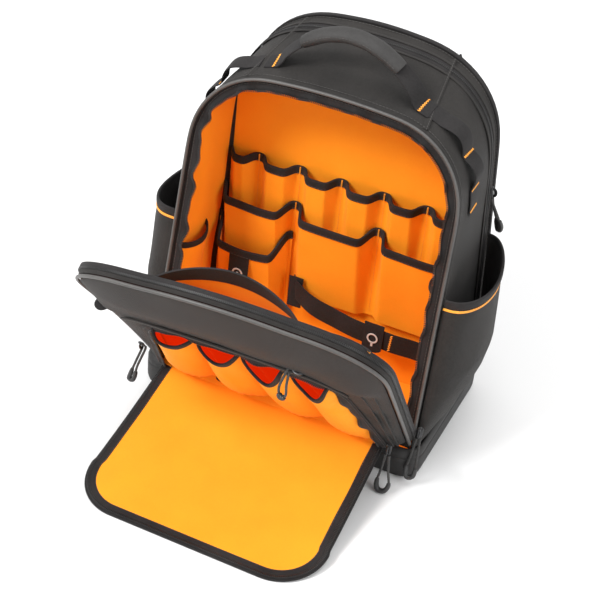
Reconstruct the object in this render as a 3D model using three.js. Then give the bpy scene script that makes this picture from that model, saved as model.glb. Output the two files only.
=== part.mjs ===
// Tool backpack, standing open: a zipped front lid leans forward on its hinge, the flap of the
// lid's front pocket lies on the floor, and the inside shows three rows of stitched pockets.
// Millimetres, +Z up, -Y is the front, X is to the right seen from the front.
import * as THREE from 'three';

// Driving dimensions

const gap = 0.3; // clearance between sewn pieces
const cloth = 2; // coated outer cloth
const lining = 1.2; // inner cloth
const binding = 3; // thickness of a folded binding tape
const sideRows = 5; // rows up a straight side of an arch
const cornerRows = 6; // rows round a shoulder
const topColumns = 6; // columns across an arch's top
const cordSteps = 13; // steps along a pull cord

const bag = {
  bottom: 42, // where the cloth starts, on top of the rubber base
  frontFoot: -114.5, // y of the opening's plane at the floor
  frontLean: 0.2, // how far the opening's plane leans back per mm of height
  back: 101, // y of the back edge
  divider: 45, // y of the wall between the two compartments
  belly: 3, // how far the side cloth swells half way back
  bellyHeight: 190, // z of the fullest place
};
const frontArch = { low: 175.8, high: 168.1, height: 423, corner: 96.5, crown: 3 };
const backArch = { low: 182.5, high: 157.6, height: 455, corner: 108.7, crown: 3 };

const boot = {
  half: 186, front: -119, back: 107, corner: 24, wall: 4, floor: 3, height: 41.7, toe: 3,
  knee: 0.55, // share of the height where the wall is widest
  roll: 0.6, // how far the rim is drawn in
};
const board = 4; // thickness of the stiffened back
const openingFoot = 74; // z of the lower ends of the opening's piping and zip tape
const piping = 2.8; // radius of the corded edges
const tape = 14; // width of the zip tape round the opening
const rearZip = { back: 28, width: 11, thick: 1.6, foot: 96, pull: 300 };

const handle = { x: 4, y: 0, half: 84, rise: 52, grip: 58, width: 26, thick: 17, web: 25, webThick: 2.4 };
const gear = { width: 25, thick: 2, y: 2, from: 108, foot: 312, puff: 9 };

// Rows of stitched pockets on the dividing wall: each row lies in front of the one above it.
const stitch = { first: -117.6, pitch: 55.5, count: 5 }; // x of the seams between the small pockets
const pencil = { top: 267, foot: 150, depth: 16, dip: 3, stand: 1.6 };
const middle = { top: 218, foot: 96, depth: 26, dip: 9, stand: 5 };
const lower = { top: 176, foot: 12, depth: 34, dip: 27, stand: 8.6 };
const wallPockets = {
  front: 14,
  left: { y1: 2, top: 182, foot: 60, depth: 16 },
  right: { y1: 0, top: 226, foot: 96, depth: 16 },
};
const toolBand = { width: 28, thick: 2.4, clear: 10, high: 112, low: 86, left: -50, right: 171.2, slack: 3 };
const strapTab = { x: 71, width: 26, tall: 40, thick: 1.6, lean: 2, stand: 3.6 };
const tapeTab = { x: -117, width: 27, tall: 36, thick: 1.6, lean: 3, stand: 8.7, top: 138 };

const lid = {
  foot: -102.7, // y of the lid's rear face at its lower edge
  rise: 62, // z of that edge
  tilt: 36, // lean from upright at the lower edge, in degrees
  tiltTop: 40, // and at the top
  twist: 2.8, // the left side leans this much more at the top
  depth: 11, // from the rear face to the corded front edge
};
const lidArch = { low: 174, high: 181.7, height: 335, corner: 94, crown: 14 };
// The lid's front pocket: its arched mouth, how deep it is below and above, and its four pouches.
const mouth = { low: 152, high: 128, height: 196, corner: 54, crown: 4 };
const pocket = { floor: 9, depthLow: 28, depthHigh: 22, swell: 5 };
const pouch = { count: 4, foot: 6, top: 178, scoop: 28, bulge: 24, side: 5 };
const innerPocket = {
  wall: 1.6, low: 190, top: 322, band: 22, droop: 12,
  left: { x0: -72, x1: 92, gape: 31 },
  right: { x0: 98, x1: 164, gape: 6 },
};

const flap = {
  half: 146, end: 151, corner: 57, length: 226, thick: 2.2, trim: 13, trimThick: 1.6,
  rest: 0.6, // its underside lies this far above the floor
  tuck: 1.8, drop: 2.8, // from the hinge to its upper edge
  curl: 12, // length taken up by its fall from the hinge
};
const sidePocket = { front: 0.01, back: 0.93, foot: 44, top: 229, dip: 7, left: 47, right: 39 };

const pad = { half: 118, low: 78, high: backArch.height - 83, corner: 46, thick: 13 };
const yoke = { half: 106, low: pad.high + gap, high: backArch.height - 14, thick: 4, corner: 14 };
const strapTop = yoke.high - 10;
const strap = {
  thick: 14, width: 66, web: 25, webThick: 1.8,
  x: 62, spread: 42, // from the upper end to the lower end
  top: strapTop, length: strapTop - 160, stand: 52, // its fall, and how far it stands off the back
};
const adjuster = { x: 104.2, spread: 45.8, top: 159.3, length: 101.3, stand: 35.7 };

const slider = { length: 15, width: 8.5, thick: 5, strands: 2.2 };
const cordRadius = 1.5;

// Solids from grids of points

const V = (x, y, z) => new THREE.Vector3(x, y, z);
const lerp = THREE.MathUtils.lerp;
const steps = (n) => Array.from({ length: n + 1 }, (_, i) => i / n);

// A closed mesh from points and triangles, turned so that its faces point out.
function closed(points, triangles) {
  let volume = 0;
  for (const [a, b, c] of triangles) volume += points[a].dot(points[b].clone().cross(points[c]));
  const faces = volume < 0 ? triangles.map(([a, b, c]) => [a, c, b]) : triangles;
  const geometry = new THREE.BufferGeometry();
  geometry.setAttribute('position', new THREE.Float32BufferAttribute(points.flatMap((p) => p.toArray()), 3));
  geometry.setIndex(faces.flat());
  const flat = geometry.toNonIndexed();
  flat.computeVertexNormals();
  return flat;
}

// The solid between two grids of the same size; ring joins the last row to the first.
function between(outer, inner, ring = false) {
  const rows = outer.length;
  const columns = outer[0].length;
  const points = [...outer.flat(), ...inner.flat()];
  const at = (layer, i, j) => layer * rows * columns + (i % rows) * columns + j;
  const triangles = [];
  const quad = (a, b, c, d) => triangles.push([a, b, c], [a, c, d]);
  const lastRow = ring ? rows : rows - 1;
  for (let i = 0; i < lastRow; i++) {
    for (let j = 0; j < columns - 1; j++) {
      quad(at(0, i, j), at(0, i + 1, j), at(0, i + 1, j + 1), at(0, i, j + 1));
      quad(at(1, i, j), at(1, i, j + 1), at(1, i + 1, j + 1), at(1, i + 1, j));
    }
    quad(at(0, i, 0), at(1, i, 0), at(1, i + 1, 0), at(0, i + 1, 0));
    const e = columns - 1;
    quad(at(0, i, e), at(0, i + 1, e), at(1, i + 1, e), at(1, i, e));
  }
  if (!ring) {
    const r = rows - 1;
    for (let j = 0; j < columns - 1; j++) {
      quad(at(0, 0, j), at(0, 0, j + 1), at(1, 0, j + 1), at(1, 0, j));
      quad(at(0, r, j), at(1, r, j), at(1, r, j + 1), at(0, r, j + 1));
    }
  }
  return closed(points, triangles);
}

// A rod along points, with a convex section of [across, up] pairs; up gives the direction at a point.
function rod(path, section, up) {
  const last = path.length - 1;
  const points = path.flatMap((p, i) => {
    const direction = path[Math.min(i + 1, last)].clone().sub(path[Math.max(i - 1, 0)]);
    const across = direction.clone().cross(up(p)).normalize();
    const lift = across.clone().cross(direction).normalize();
    return section.map(([a, b]) => p.clone().addScaledVector(across, a).addScaledVector(lift, b));
  });
  const m = section.length;
  const triangles = [];
  for (let i = 0; i < last; i++) {
    for (let k = 0; k < m; k++) {
      const [a, b] = [i * m + k, i * m + ((k + 1) % m)];
      triangles.push([a, b, b + m], [a, b + m, a + m]);
    }
  }
  for (let k = 1; k < m - 1; k++) {
    triangles.push([0, k + 1, k], [last * m, last * m + k, last * m + k + 1]);
  }
  return closed(points, triangles);
}

const polygon = (sides, across, up = across) =>
  steps(sides).slice(0, -1).map((t) => [across * Math.cos(2 * Math.PI * t), up * Math.sin(2 * Math.PI * t)]);
const band = (width, thick) => [
  [-width / 2, 0], [width / 2, 0], [width / 2, thick], [-width / 2, thick],
];
const towards = (x, y, z) => () => V(x, y, z);
const smooth = (points, count) => new THREE.CatmullRomCurve3(points, false, 'centripetal').getPoints(count);

// Arches: a straight side that narrows, a round shoulder and a crowned top

const inset = (arch, d) => ({
  low: arch.low - d, high: arch.high - d, height: arch.height - d, corner: arch.corner - d, crown: arch.crown,
});

// The right half of an arch as [half width, height] rows, from the foot to the top's end.
function archRows(arch, foot) {
  const spring = arch.height - arch.corner;
  const rows = steps(sideRows).map((t) => {
    const z = lerp(foot, spring, t);
    return [lerp(arch.low, arch.high, Math.max(z, 0) / spring), z];
  });
  for (const t of steps(cornerRows).slice(1)) {
    const a = (t * Math.PI) / 2;
    rows.push([
      arch.high - arch.corner + arch.corner * Math.cos(a),
      spring + (arch.corner - arch.crown) * Math.sin(a),
    ]);
  }
  return rows;
}

// The whole outline, right foot to left foot.
function archOutline(arch, foot) {
  const right = archRows(arch, foot);
  const [half, high] = right[right.length - 1];
  const top = steps(topColumns).slice(1, -1).map((t) => {
    const u = 1 - 2 * t;
    return [u * half, high + arch.crown * (1 - u * u)];
  });
  return [...right, ...top, ...right.map(([x, z]) => [-x, z]).reverse()];
}

// The area inside an arch as a grid, rows upwards and columns from left to right.
function archFill(arch, foot, columns) {
  const rows = archRows(arch, foot);
  const spring = arch.height - arch.corner;
  return rows.map(([half, z]) => {
    const rise = (arch.crown * Math.max(0, z - spring)) / (arch.corner - arch.crown);
    return steps(columns).map((t) => {
      const x = lerp(-half, half, t);
      return [x, z + rise * Math.max(0, 1 - (x / (arch.high - arch.corner)) ** 2)];
    });
  });
}

// The bag's skin, lofted from the opening's arch to the back arch

const frontY = (z) => bag.frontFoot + bag.frontLean * z;

// A row of the skin at outline point k, inset by d, at the places in y that ys gives for it.
function skinRows(d, ys, foot = bag.bottom) {
  const a = archOutline(inset(frontArch, d), foot);
  const b = archOutline(inset(backArch, d), foot);
  return a.map(([x, z], k) => {
    const y0 = frontY(z);
    return ys(y0, z).map((y) => {
      const t = (y - y0) / (bag.back - y0);
      const swell = bag.belly * Math.sin(Math.PI * Math.min(Math.max(t, 0), 1));
      const flat = Math.max(0, 1 - Math.abs(z - bag.bellyHeight) / bag.bellyHeight);
      return V(lerp(x, b[k][0], t) + Math.sign(x) * swell * flat, y, lerp(z, b[k][1], t));
    });
  });
}

// The skin's half width at a height on the straight side.
function skinHalf(y, z, d = 0) {
  const t = (y - frontY(z)) / (bag.back - frontY(z));
  const half = (arch) => lerp(arch.low, arch.high, z / (arch.height - arch.corner));
  const flat = Math.max(0, 1 - Math.abs(z - bag.bellyHeight) / bag.bellyHeight);
  return lerp(half(frontArch), half(backArch), t) + bag.belly * Math.sin(Math.PI * t) * flat - d;
}

const inner = cloth + gap; // the skin's inner clearance line
const along = (a, b, n) => (y0) => steps(n).map((t) => lerp(y0 + a, b, t));

function bodyShell() {
  const rows = along(0, bag.back, 4);
  return between(skinRows(0, rows), skinRows(cloth, rows));
}

// The orange lining: over the walls and the top, and across the floor.
function shellLining() {
  const rows = along(3, bag.divider - gap, 3);
  const floor = boot.floor + gap;
  const grid = (d, lift) => {
    const walls = skinRows(d, rows);
    const left = walls[walls.length - 1];
    const base = (t) => left.map((p, j) => V(lerp(-1, 1, t) * (walls[0][j].x - 3), p.y, floor + lift));
    return [...walls, ...[0, 0.25, 0.5, 0.75, 1].map(base)];
  };
  return between(grid(inner + gap, 0), grid(inner + gap + lining, lining), true);
}

// A flat wall across the bag, filling the skin at y.
function crossWall(y, thick, d, foot) {
  const level = (yy) => {
    const a = archFill(inset(frontArch, d), foot, 6);
    const b = archFill(inset(backArch, d), foot, 6);
    return a.map((row, i) => row.map(([x, z], j) => {
      const t = (yy - frontY(z)) / (bag.back - frontY(z));
      return V(lerp(x, b[i][j][0], t), yy, lerp(z, b[i][j][1], t));
    }));
  };
  return between(level(y), level(y + thick));
}

function baseBoot() {
  const [x, front, back] = [boot.half - boot.corner, boot.front + boot.corner, boot.back - boot.corner];
  const corners = [[x, front, -90], [x, back, 0], [-x, back, 90], [-x, front, 180]];
  const ring = (d, z) => corners.flatMap(([cx, cy, from]) => steps(4).map((t) => {
    const a = THREE.MathUtils.degToRad(from + 90 * t);
    return V(cx + (boot.corner - d) * Math.cos(a), cy + (boot.corner - d) * Math.sin(a), z);
  }));
  const loops = [
    ring(2 * boot.toe, 0), ring(boot.toe, 4), ring(0, boot.height * boot.knee), ring(boot.roll, boot.height),
    ring(boot.wall + boot.roll, boot.height), ring(boot.wall, boot.height * boot.knee),
    ring(boot.wall + 1, 2 * boot.floor), ring(boot.wall + 2, boot.floor),
  ];
  const n = loops[0].length;
  const points = loops.flat();
  const triangles = [];
  for (let i = 0; i < loops.length - 1; i++) {
    for (let k = 0; k < n; k++) {
      const [a, b] = [i * n + k, i * n + ((k + 1) % n)];
      triangles.push([a, b, b + n], [a, b + n, a + n]);
    }
  }
  const last = (loops.length - 1) * n;
  for (let k = 1; k < n - 1; k++) triangles.push([0, k + 1, k], [last, last + k, last + k + 1]);
  return closed(points, triangles);
}

function frontSill() {
  const half = frontArch.low - inner - 2.2;
  const grid = (d) => [bag.bottom, lid.rise - 4].map((z) =>
    steps(6).map((t) => V(lerp(-half, half, t), frontY(z) + d, z)));
  return between(grid(0), grid(cloth));
}

// The corded edge round the opening.
function openingPiping() {
  const outline = archOutline(inset(frontArch, 1), openingFoot);
  const path = outline.map(([x, z]) => V(x, frontY(z) - piping - gap, z));
  return rod(path, polygon(6, piping), towards(0, 1, 0));
}

// Zip tape inside the opening's edge, its free edge slightly wavy.
function openingTape() {
  const grid = (thick) => {
    const outer = archOutline(inset(frontArch, inner), openingFoot);
    const innerEdge = archOutline(inset(frontArch, inner + tape), openingFoot);
    return outer.map(([x, z], k) => [0, 1].map((t) => {
      const wave = t * 1.6 * Math.sin(k * 2.1);
      const zz = lerp(z, innerEdge[k][1], t);
      return V(lerp(x, innerEdge[k][0], t), frontY(zz) + thick + wave * 0.5 + 0.8, zz);
    }));
  };
  return between(grid(0), grid(1.2));
}

function rearZipTrack() {
  const y = bag.back - rearZip.back;
  const rows = () => [y - rearZip.width / 2, y + rearZip.width / 2];
  const layer = (out) => skinRows(-2 * gap - out, rows, rearZip.foot);
  return between(layer(rearZip.thick), layer(0));
}

// Handle and webbing on the top

// The skin's top at x and y, for pieces sewn onto it.
function skinTop(x, y) {
  const rows = skinRows(0, () => [y]).map((row) => row[0]);
  for (let i = 1; i < rows.length; i++) {
    const [a, b] = [rows[i - 1], rows[i]];
    const spans = (a.x - x) * (b.x - x) <= 0 && a.x !== b.x;
    if (spans && a.z > frontArch.height - frontArch.corner) return lerp(a.z, b.z, (x - a.x) / (b.x - a.x));
  }
  return frontArch.height;
}

// How steeply the skin's top rises and its side narrows towards the back.
const topSlope = (backArch.height - frontArch.height) / (bag.back - frontY(frontArch.height));
const sideSlope = (frontArch.high - backArch.high) / (bag.back - frontY(frontArch.height));

function handlePoint(u) {
  const base = skinTop(handle.x, handle.y);
  const rise = handle.rise * Math.pow(Math.max(0, Math.cos((u * Math.PI) / 2)), 0.72);
  return V(handle.x + u * handle.half, handle.y, base + rise);
}

function handleGrip() {
  const reach = handle.grip / handle.half;
  const path = steps(12).map((t) => handlePoint(lerp(-reach, reach, t)));
  return rod(path, polygon(8, handle.width / 2, handle.thick / 2), towards(0, 0, 1));
}

function handleWebbing(side) {
  const reach = (handle.grip + 2 * gap) / handle.half;
  const rising = steps(3).map((t) => handlePoint(side * lerp(reach, 0.985, t)));
  const foot = [1.08, 1.2].map((u) => {
    const x = handle.x + side * u * handle.half;
    return V(x, handle.y, skinTop(x, handle.y) + gap + 1.4);
  });
  return rod([...rising, ...foot], band(handle.web, handle.webThick), towards(0, -topSlope, 1));
}

// Webbing from the top seam over the shoulder, with two loops between bar tacks.
function gearWebbing(side) {
  const table = [
    { u: 0, puff: 0 }, { u: 0.12, puff: 0.1 }, { u: 0.24, puff: 0.9 }, { u: 0.36, puff: 1 },
    { u: 0.46, puff: 0 }, { u: 0.56, puff: 0.8 }, { u: 0.66, puff: 1 }, { u: 0.76, puff: 0 },
    { u: 0.88, puff: 0.1 }, { u: 1, puff: 0 },
  ];
  const skin = skinRows(-gap - 0.8, () => [gear.y]).map((row) => row[0]);
  const right = skin.filter((p) => p.x > 0 && (p.x > gear.from || p.z < gear.foot + 100) && p.z >= gear.foot);
  const curve = new THREE.CurvePath();
  const start = V(gear.from, gear.y, skinTop(gear.from, gear.y) + gap + 0.8);
  const line = [start, ...right.reverse().filter((p) => p.x > gear.from)];
  for (let i = 1; i < line.length; i++) curve.add(new THREE.LineCurve3(line[i - 1], line[i]));
  const middleOf = V(frontArch.high - frontArch.corner, gear.y, frontArch.height - frontArch.corner);
  const path = table.map(({ u, puff }) => {
    const p = curve.getPointAt(u);
    const out = p.clone().sub(middleOf).setY(0).normalize();
    return p.addScaledVector(out, puff * gear.puff);
  });
  const flip = path.map((p) => V(side * p.x, p.y, p.z));
  const up = (p) => {
    const out = V(p.x - side * middleOf.x, 0, Math.max(p.z - middleOf.z, 0)).normalize();
    return V(out.x, sideSlope * Math.abs(out.x) - topSlope * out.z, out.z);
  };
  return rod(flip, band(gear.width, gear.thick), up);
}

// Pockets on the dividing wall

// Cloth that is stitched down at the bay edges and stands out between them.
function bayGrid({ edges, top, foot, depth, dip, base, columns = 6, rows = 3, wall = lining }) {
  const across = edges.slice(1).flatMap((x1, i) =>
    steps(columns).slice(i ? 1 : 0).map((t) => ({ x: lerp(edges[i], x1, t), t })));
  const grid = (offset) => across.map(({ x, t }) => steps(rows).map((v) => {
    const bow = 1 - Math.pow(Math.abs(2 * t - 1), 4);
    const out = bow * depth * lerp(0.35, 1, v);
    const sag = dip * bow * v;
    return V(x, base - out - offset, lerp(foot, top, v) - sag);
  }));
  return { back: grid(gap), front: grid(gap + wall) };
}

// A folded tape on the upper edge of a row of bays, laid just above the cloth.
function bayBinding({ front, back }, tall = 9) {
  const over = (binding - lining) / 2;
  const face = (rows, out) => rows.map((row) => {
    const p = row[row.length - 1];
    return [gap, gap + tall].map((up) => V(p.x, p.y + out, p.z + up));
  });
  return between(face(front, -over), face(back, over));
}

// Half the room between the lined side walls at a height, next to the dividing wall.
const room = (z) => skinHalf(bag.divider - 10, z, inner + lining + gap) - 1.5;
const seam = (i) => stitch.first + i * stitch.pitch;
const smallEdges = [-room(pencil.top), ...Array.from({ length: stitch.count + 1 }, (_, i) => seam(i))];
const pencilGrid = bayGrid({ ...pencil, edges: smallEdges, base: bag.divider - pencil.stand });
const middleEdges = [-room(middle.top), seam(1), seam(3), room(middle.top)];
const middleGrid = bayGrid({
  ...middle, edges: middleEdges, base: bag.divider - middle.stand, columns: 8,
});
const lowerGrid = bayGrid({
  ...lower, edges: middleEdges.slice(0, 2), base: bag.divider - lower.stand, columns: 10, rows: 4,
});

// A small pocket on a side wall: cloth that stands out from the lining at one side.
function wallPocket(side, { y1, top, foot, depth }) {
  const grid = (offset) => steps(5).map((t) => steps(3).map((v) => {
    const z = lerp(foot, top, v);
    const y = lerp(frontY(z) + wallPockets.front, y1, t);
    const out = Math.pow(Math.sin(Math.PI * t), 0.7) * depth * lerp(0.3, 1, v);
    return V(side * (skinHalf(y, z) - inner - lining - 1.2 - out - offset), y, z - (4 * out) / depth);
  }));
  return between(grid(0), grid(lining));
}

// A strap across the right bays, and two hanging tabs.
function toolStrap() {
  const y = bag.divider - middle.depth - toolBand.clear;
  const drop = toolBand.high - toolBand.low;
  const table = [
    { u: 0, out: -5, fall: 0 }, { u: 0.036, out: -3, fall: 0.04 }, { u: 0.1175, out: 0, fall: 0.16 },
    { u: 0.3165, out: 1, fall: 0.54 }, { u: 0.5877, out: 1, fall: 0.8 },
    { u: 0.8047, out: -0.67, fall: 0.93 },
    { u: 1, out: -0.67, fall: 1 },
  ];
  const path = smooth(table.map(({ u, out, fall }) =>
    V(lerp(toolBand.left, toolBand.right, u), y - out * toolBand.slack, toolBand.high - fall * drop)), 10);
  return rod(path, band(toolBand.width, toolBand.thick), towards(0, 1, 0));
}

function hangingTab({ x, width, tall, thick, lean, stand }, front, top) {
  const y = front - stand;
  const face = (out) => [0, 1].map((t) =>
    [-width / 2, width / 2].map((across) => V(x + across, y - out - lean * t, top - tall * t)));
  return between(face(0), face(thick));
}

// The lid, a shallow box that leans forward

// A point of the lid: x across, s up its rear face from the hinge, n out of its front.
function lidPoint(x, s, n) {
  const from = THREE.MathUtils.degToRad(lid.tilt);
  const to = THREE.MathUtils.degToRad(lid.tiltTop - (lid.twist * x) / lidArch.low);
  const k = (to - from) / lidArch.height;
  const a = from + k * s;
  return V(
    x,
    lid.foot + (Math.cos(a) - Math.cos(from)) / k - n * Math.cos(a),
    lid.rise + (Math.sin(a) - Math.sin(from)) / k - n * Math.sin(a),
  );
}

function lidSheet(d, n, thick, foot = 0) {
  const fill = archFill(inset(lidArch, d), foot, topColumns);
  const grid = (m) => fill.map((row) => row.map(([x, s]) => lidPoint(x, s, m)));
  return between(grid(n), grid(n + thick));
}

function lidGusset() {
  const ring = (d) => archOutline(inset(lidArch, d), 0).map(([x, s]) =>
    [0, lid.depth].map((n) => lidPoint(x, s, n)));
  return between(ring(0), ring(cloth));
}

function lidPiping() {
  const n = lid.depth + gap + piping;
  const lean = THREE.MathUtils.degToRad(lid.tilt);
  const path = archOutline(inset(lidArch, 1), 0).map(([x, s]) => lidPoint(x, s, n));
  return rod(path, polygon(6, piping), towards(0, -Math.cos(lean), -Math.sin(lean)));
}

const wallFront = lid.depth + 1; // n of the pocket's back wall, front side
const pocketDepth = (s) => lerp(pocket.depthLow, pocket.depthHigh, Math.min(1, s / mouth.height));

// The lid's dark front: from the corded edge in to the pocket's mouth, with a closed pocket above.
function lidFrontFace() {
  const outer = archOutline(inset(lidArch, cloth + piping), pocket.floor);
  const edge = archOutline(mouth, pocket.floor);
  const grid = (thick) => outer.map(([x, s], k) => [0, 0.3, 0.7, 1].map((t) => {
    const [xx, ss] = [lerp(x, edge[k][0], t), lerp(s, edge[k][1], t)];
    const high = Math.max(0, s - mouth.height) / (lidArch.height - mouth.height);
    const n = lerp(wallFront + 1 + cloth, pocketDepth(ss), Math.pow(t, 0.6));
    return lidPoint(xx, ss, n + pocket.swell * high * Math.sin(Math.PI * t) - thick);
  }));
  return between(grid(0), grid(cloth));
}

// The pocket's side walls, top and floor: one ring just inside its mouth.
function pocketWalls() {
  const ring = (d) => {
    const arch = archOutline(inset(mouth, gap + d), pocket.floor + d);
    const half = arch[0][0];
    const floor = [-0.6, -0.2, 0.2, 0.6].map((u) => [u * half, pocket.floor + d]);
    return [...arch, ...floor].map(([x, s]) =>
      [wallFront + gap, pocketDepth(s) - cloth - 2 * gap].map((n) => lidPoint(x, s, n)));
  };
  return between(ring(0), ring(lining), true);
}

// A pocket on the lid's rear face whose mouth gapes towards the bag, between two heights.
function lidInnerPocket({ x0, x1, gape, low, high }) {
  const rows = [0, 0.35, 0.7, 1].map((t) => lerp(low, high, t));
  const full = innerPocket.top - innerPocket.low;
  const grid = (thick) => steps(8).map((u) => rows.map((s) => {
    const x = lerp(x0, x1, u);
    const rise = (s - innerPocket.low) / full;
    const out = gape * Math.pow(Math.sin(Math.PI * u), 0.75) * Math.pow(rise, 1.4);
    return lidPoint(x, s - innerPocket.droop * rise * Math.pow(x / lidArch.high, 2), -gap - out - thick);
  }));
  return between(grid(0), grid(innerPocket.wall));
}

// Half the pocket's inner width at a height.
function mouthHalf(s) {
  const spring = mouth.height - mouth.corner;
  const over = Math.max(0, s - spring);
  const bend = mouth.corner - Math.sqrt(Math.max(0, mouth.corner ** 2 - over ** 2));
  return lerp(mouth.low, mouth.high, Math.min(1, s / spring)) - bend - gap - lining - pouch.side;
}

// A pleated pouch in the front pocket, cut away in a scoop at its mouth.
function toolPouch(index) {
  const from = lerp(-1, 1, index / pouch.count);
  const to = lerp(-1, 1, (index + 1) / pouch.count);
  const grid = (thick) => steps(8).map((u) => [0, 0.1, 0.3, 0.65, 1].map((v) => {
    const bell = Math.pow(Math.sin(Math.PI * u), 0.5);
    const top = pouch.top - pouch.scoop * Math.sin(Math.PI * u);
    const s = lerp(pocket.floor + pouch.foot, top, v);
    const x = lerp(from, to, u) * mouthHalf(s) + lerp(0.7, -0.7, u);
    const out = pouch.bulge * bell * (v < 0.05 ? 0.4 : 1);
    return lidPoint(x, s, wallFront + gap + 0.4 + out + thick);
  }));
  return between(grid(0), grid(lining));
}

// The flap: hinged at the front pocket's lower edge and lying forward on the floor

const hinge = lidPoint(0, pocket.floor, pocket.depthLow);

// A point of the flap: x across, f from 0 at the hinge to 1 at its end, lift above its underside.
function flapPoint(x, f, lift) {
  const y = hinge.y + flap.tuck - f * (flap.length - flap.curl);
  const z = flap.rest + (hinge.z - flap.drop) * Math.pow(1 - f, 1.35);
  return V(x, y, z + lift);
}

// The flap's outline from the hinge's right end round to its left end, inset by d.
function flapOutline(d) {
  const reach = flap.length - flap.curl;
  const straight = steps(4).map((t) => {
    const f = t * (1 - flap.corner / reach);
    return [lerp(flap.half, flap.end, f) - d, f];
  });
  const corner = steps(6).slice(1).map((t) => {
    const a = (t * Math.PI) / 2;
    return [flap.end - flap.corner + (flap.corner - d) * Math.cos(a),
      1 - flap.corner / reach + ((flap.corner - d) * Math.sin(a)) / reach];
  });
  const half = [...straight, ...corner];
  return [...half, ...half.map(([x, f]) => [-x, f]).reverse()];
}

function flapSheet(d, lift, thick, start = 0) {
  const outline = flapOutline(d);
  const half = outline.slice(0, outline.length / 2);
  const grid = (h) => half.map(([x, f]) =>
    steps(6).map((t) => flapPoint(lerp(-x, x, t), Math.max(f, start), h)));
  return between(grid(lift), grid(lift + thick));
}

function flapBinding() {
  const [outer, innerEdge] = [flapOutline(0), flapOutline(flap.trim - gap)];
  const grid = (lift) => outer.map(([x, f], k) => [flapPoint(x, f, lift), flapPoint(...innerEdge[k], lift)]);
  return between(grid(flap.thick + gap), grid(flap.thick + gap + flap.trimThick));
}

// Side pockets

// How far the cloth stands out, as a share of the bulge, at each share of the height.
const swellTable = [
  { v: 0, out: 0.1 }, { v: 0.18, out: 0.55 }, { v: 0.5, out: 1 }, { v: 0.8, out: 0.98 }, { v: 1, out: 1 },
];

function sidePocketSolid(side, bulge) {
  const grid = (d) => steps(10).map((u) => swellTable.map(({ v, out }) => {
    const z = lerp(sidePocket.foot, sidePocket.top - sidePocket.dip * Math.sin(Math.PI * u), v);
    const y = lerp(frontY(z), bag.back, lerp(sidePocket.front, sidePocket.back, u));
    const away = bulge * out * Math.pow(Math.sin(Math.PI * Math.pow(u, 0.85)), 0.4);
    return V(side * (skinHalf(y, z) + 2 * gap + away + d), y, z);
  }));
  return between(grid(0), grid(cloth));
}

// Back: a padded panel, a yoke, two padded straps and their webbing

function roundedPad({ half, low, high, corner, thick }, y) {
  const shape = new THREE.Shape();
  shape.moveTo(-half + corner, low);
  shape.lineTo(half - corner, low);
  shape.absarc(half - corner, low + corner, corner, -Math.PI / 2, 0, false);
  shape.absarc(half - corner, high - corner, corner, 0, Math.PI / 2, false);
  shape.absarc(-half + corner, high - corner, corner, Math.PI / 2, Math.PI, false);
  shape.absarc(-half + corner, low + corner, corner, Math.PI, Math.PI * 1.5, false);
  const geometry = new THREE.ExtrudeGeometry(shape, { depth: thick, bevelEnabled: false, curveSegments: 4 });
  geometry.rotateX(Math.PI / 2);
  geometry.translate(0, y + thick, 0);
  return geometry;
}

// Points of a band that hangs on the back, from shares of its spread, its stand off and its fall.
function hanging(table, size, side, y) {
  return table.map(({ out, stand, fall }) =>
    V(side * (size.x + out * size.spread), y + stand * size.stand, size.top - fall * size.length));
}

function shoulderStrap(side) {
  const y = bag.back + yoke.thick + gap;
  const table = [
    { out: 0, stand: 0.083, fall: 0 }, { out: 0.143, stand: 0.385, fall: 0.122 },
    { out: 0.333, stand: 0.846, fall: 0.336 }, { out: 0.524, stand: 1, fall: 0.594 },
    { out: 0.762, stand: 0.885, fall: 0.834 }, { out: 1, stand: 0.615, fall: 1 },
  ];
  const path = smooth(hanging(table, strap, side, y), 10);
  const section = [[-0.5, -0.3], [0.5, -0.3], [0.5, 0.3], [0.4, 0.5], [-0.4, 0.5], [-0.5, 0.3]]
    .map(([a, b]) => [a * strap.width, b * strap.thick]);
  return rod(path, section, towards(0, 1, 0));
}

function strapWebbing(side) {
  const y = bag.back + gap;
  const table = [
    { out: 0, stand: 1, fall: 0 }, { out: 0.05, stand: 0.91, fall: 0.102 },
    { out: 0.279, stand: 0.56, fall: 0.388 }, { out: 0.651, stand: 0.112, fall: 0.664 },
    { out: 0.825, stand: 0.014, fall: 0.812 }, { out: 1, stand: 0.006, fall: 1 },
  ];
  const path = smooth(hanging(table, adjuster, side, y), 8);
  return rod(path, band(strap.web, strap.webThick), towards(0, 1, 0));
}

// Zip sliders and their cord pulls

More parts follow.
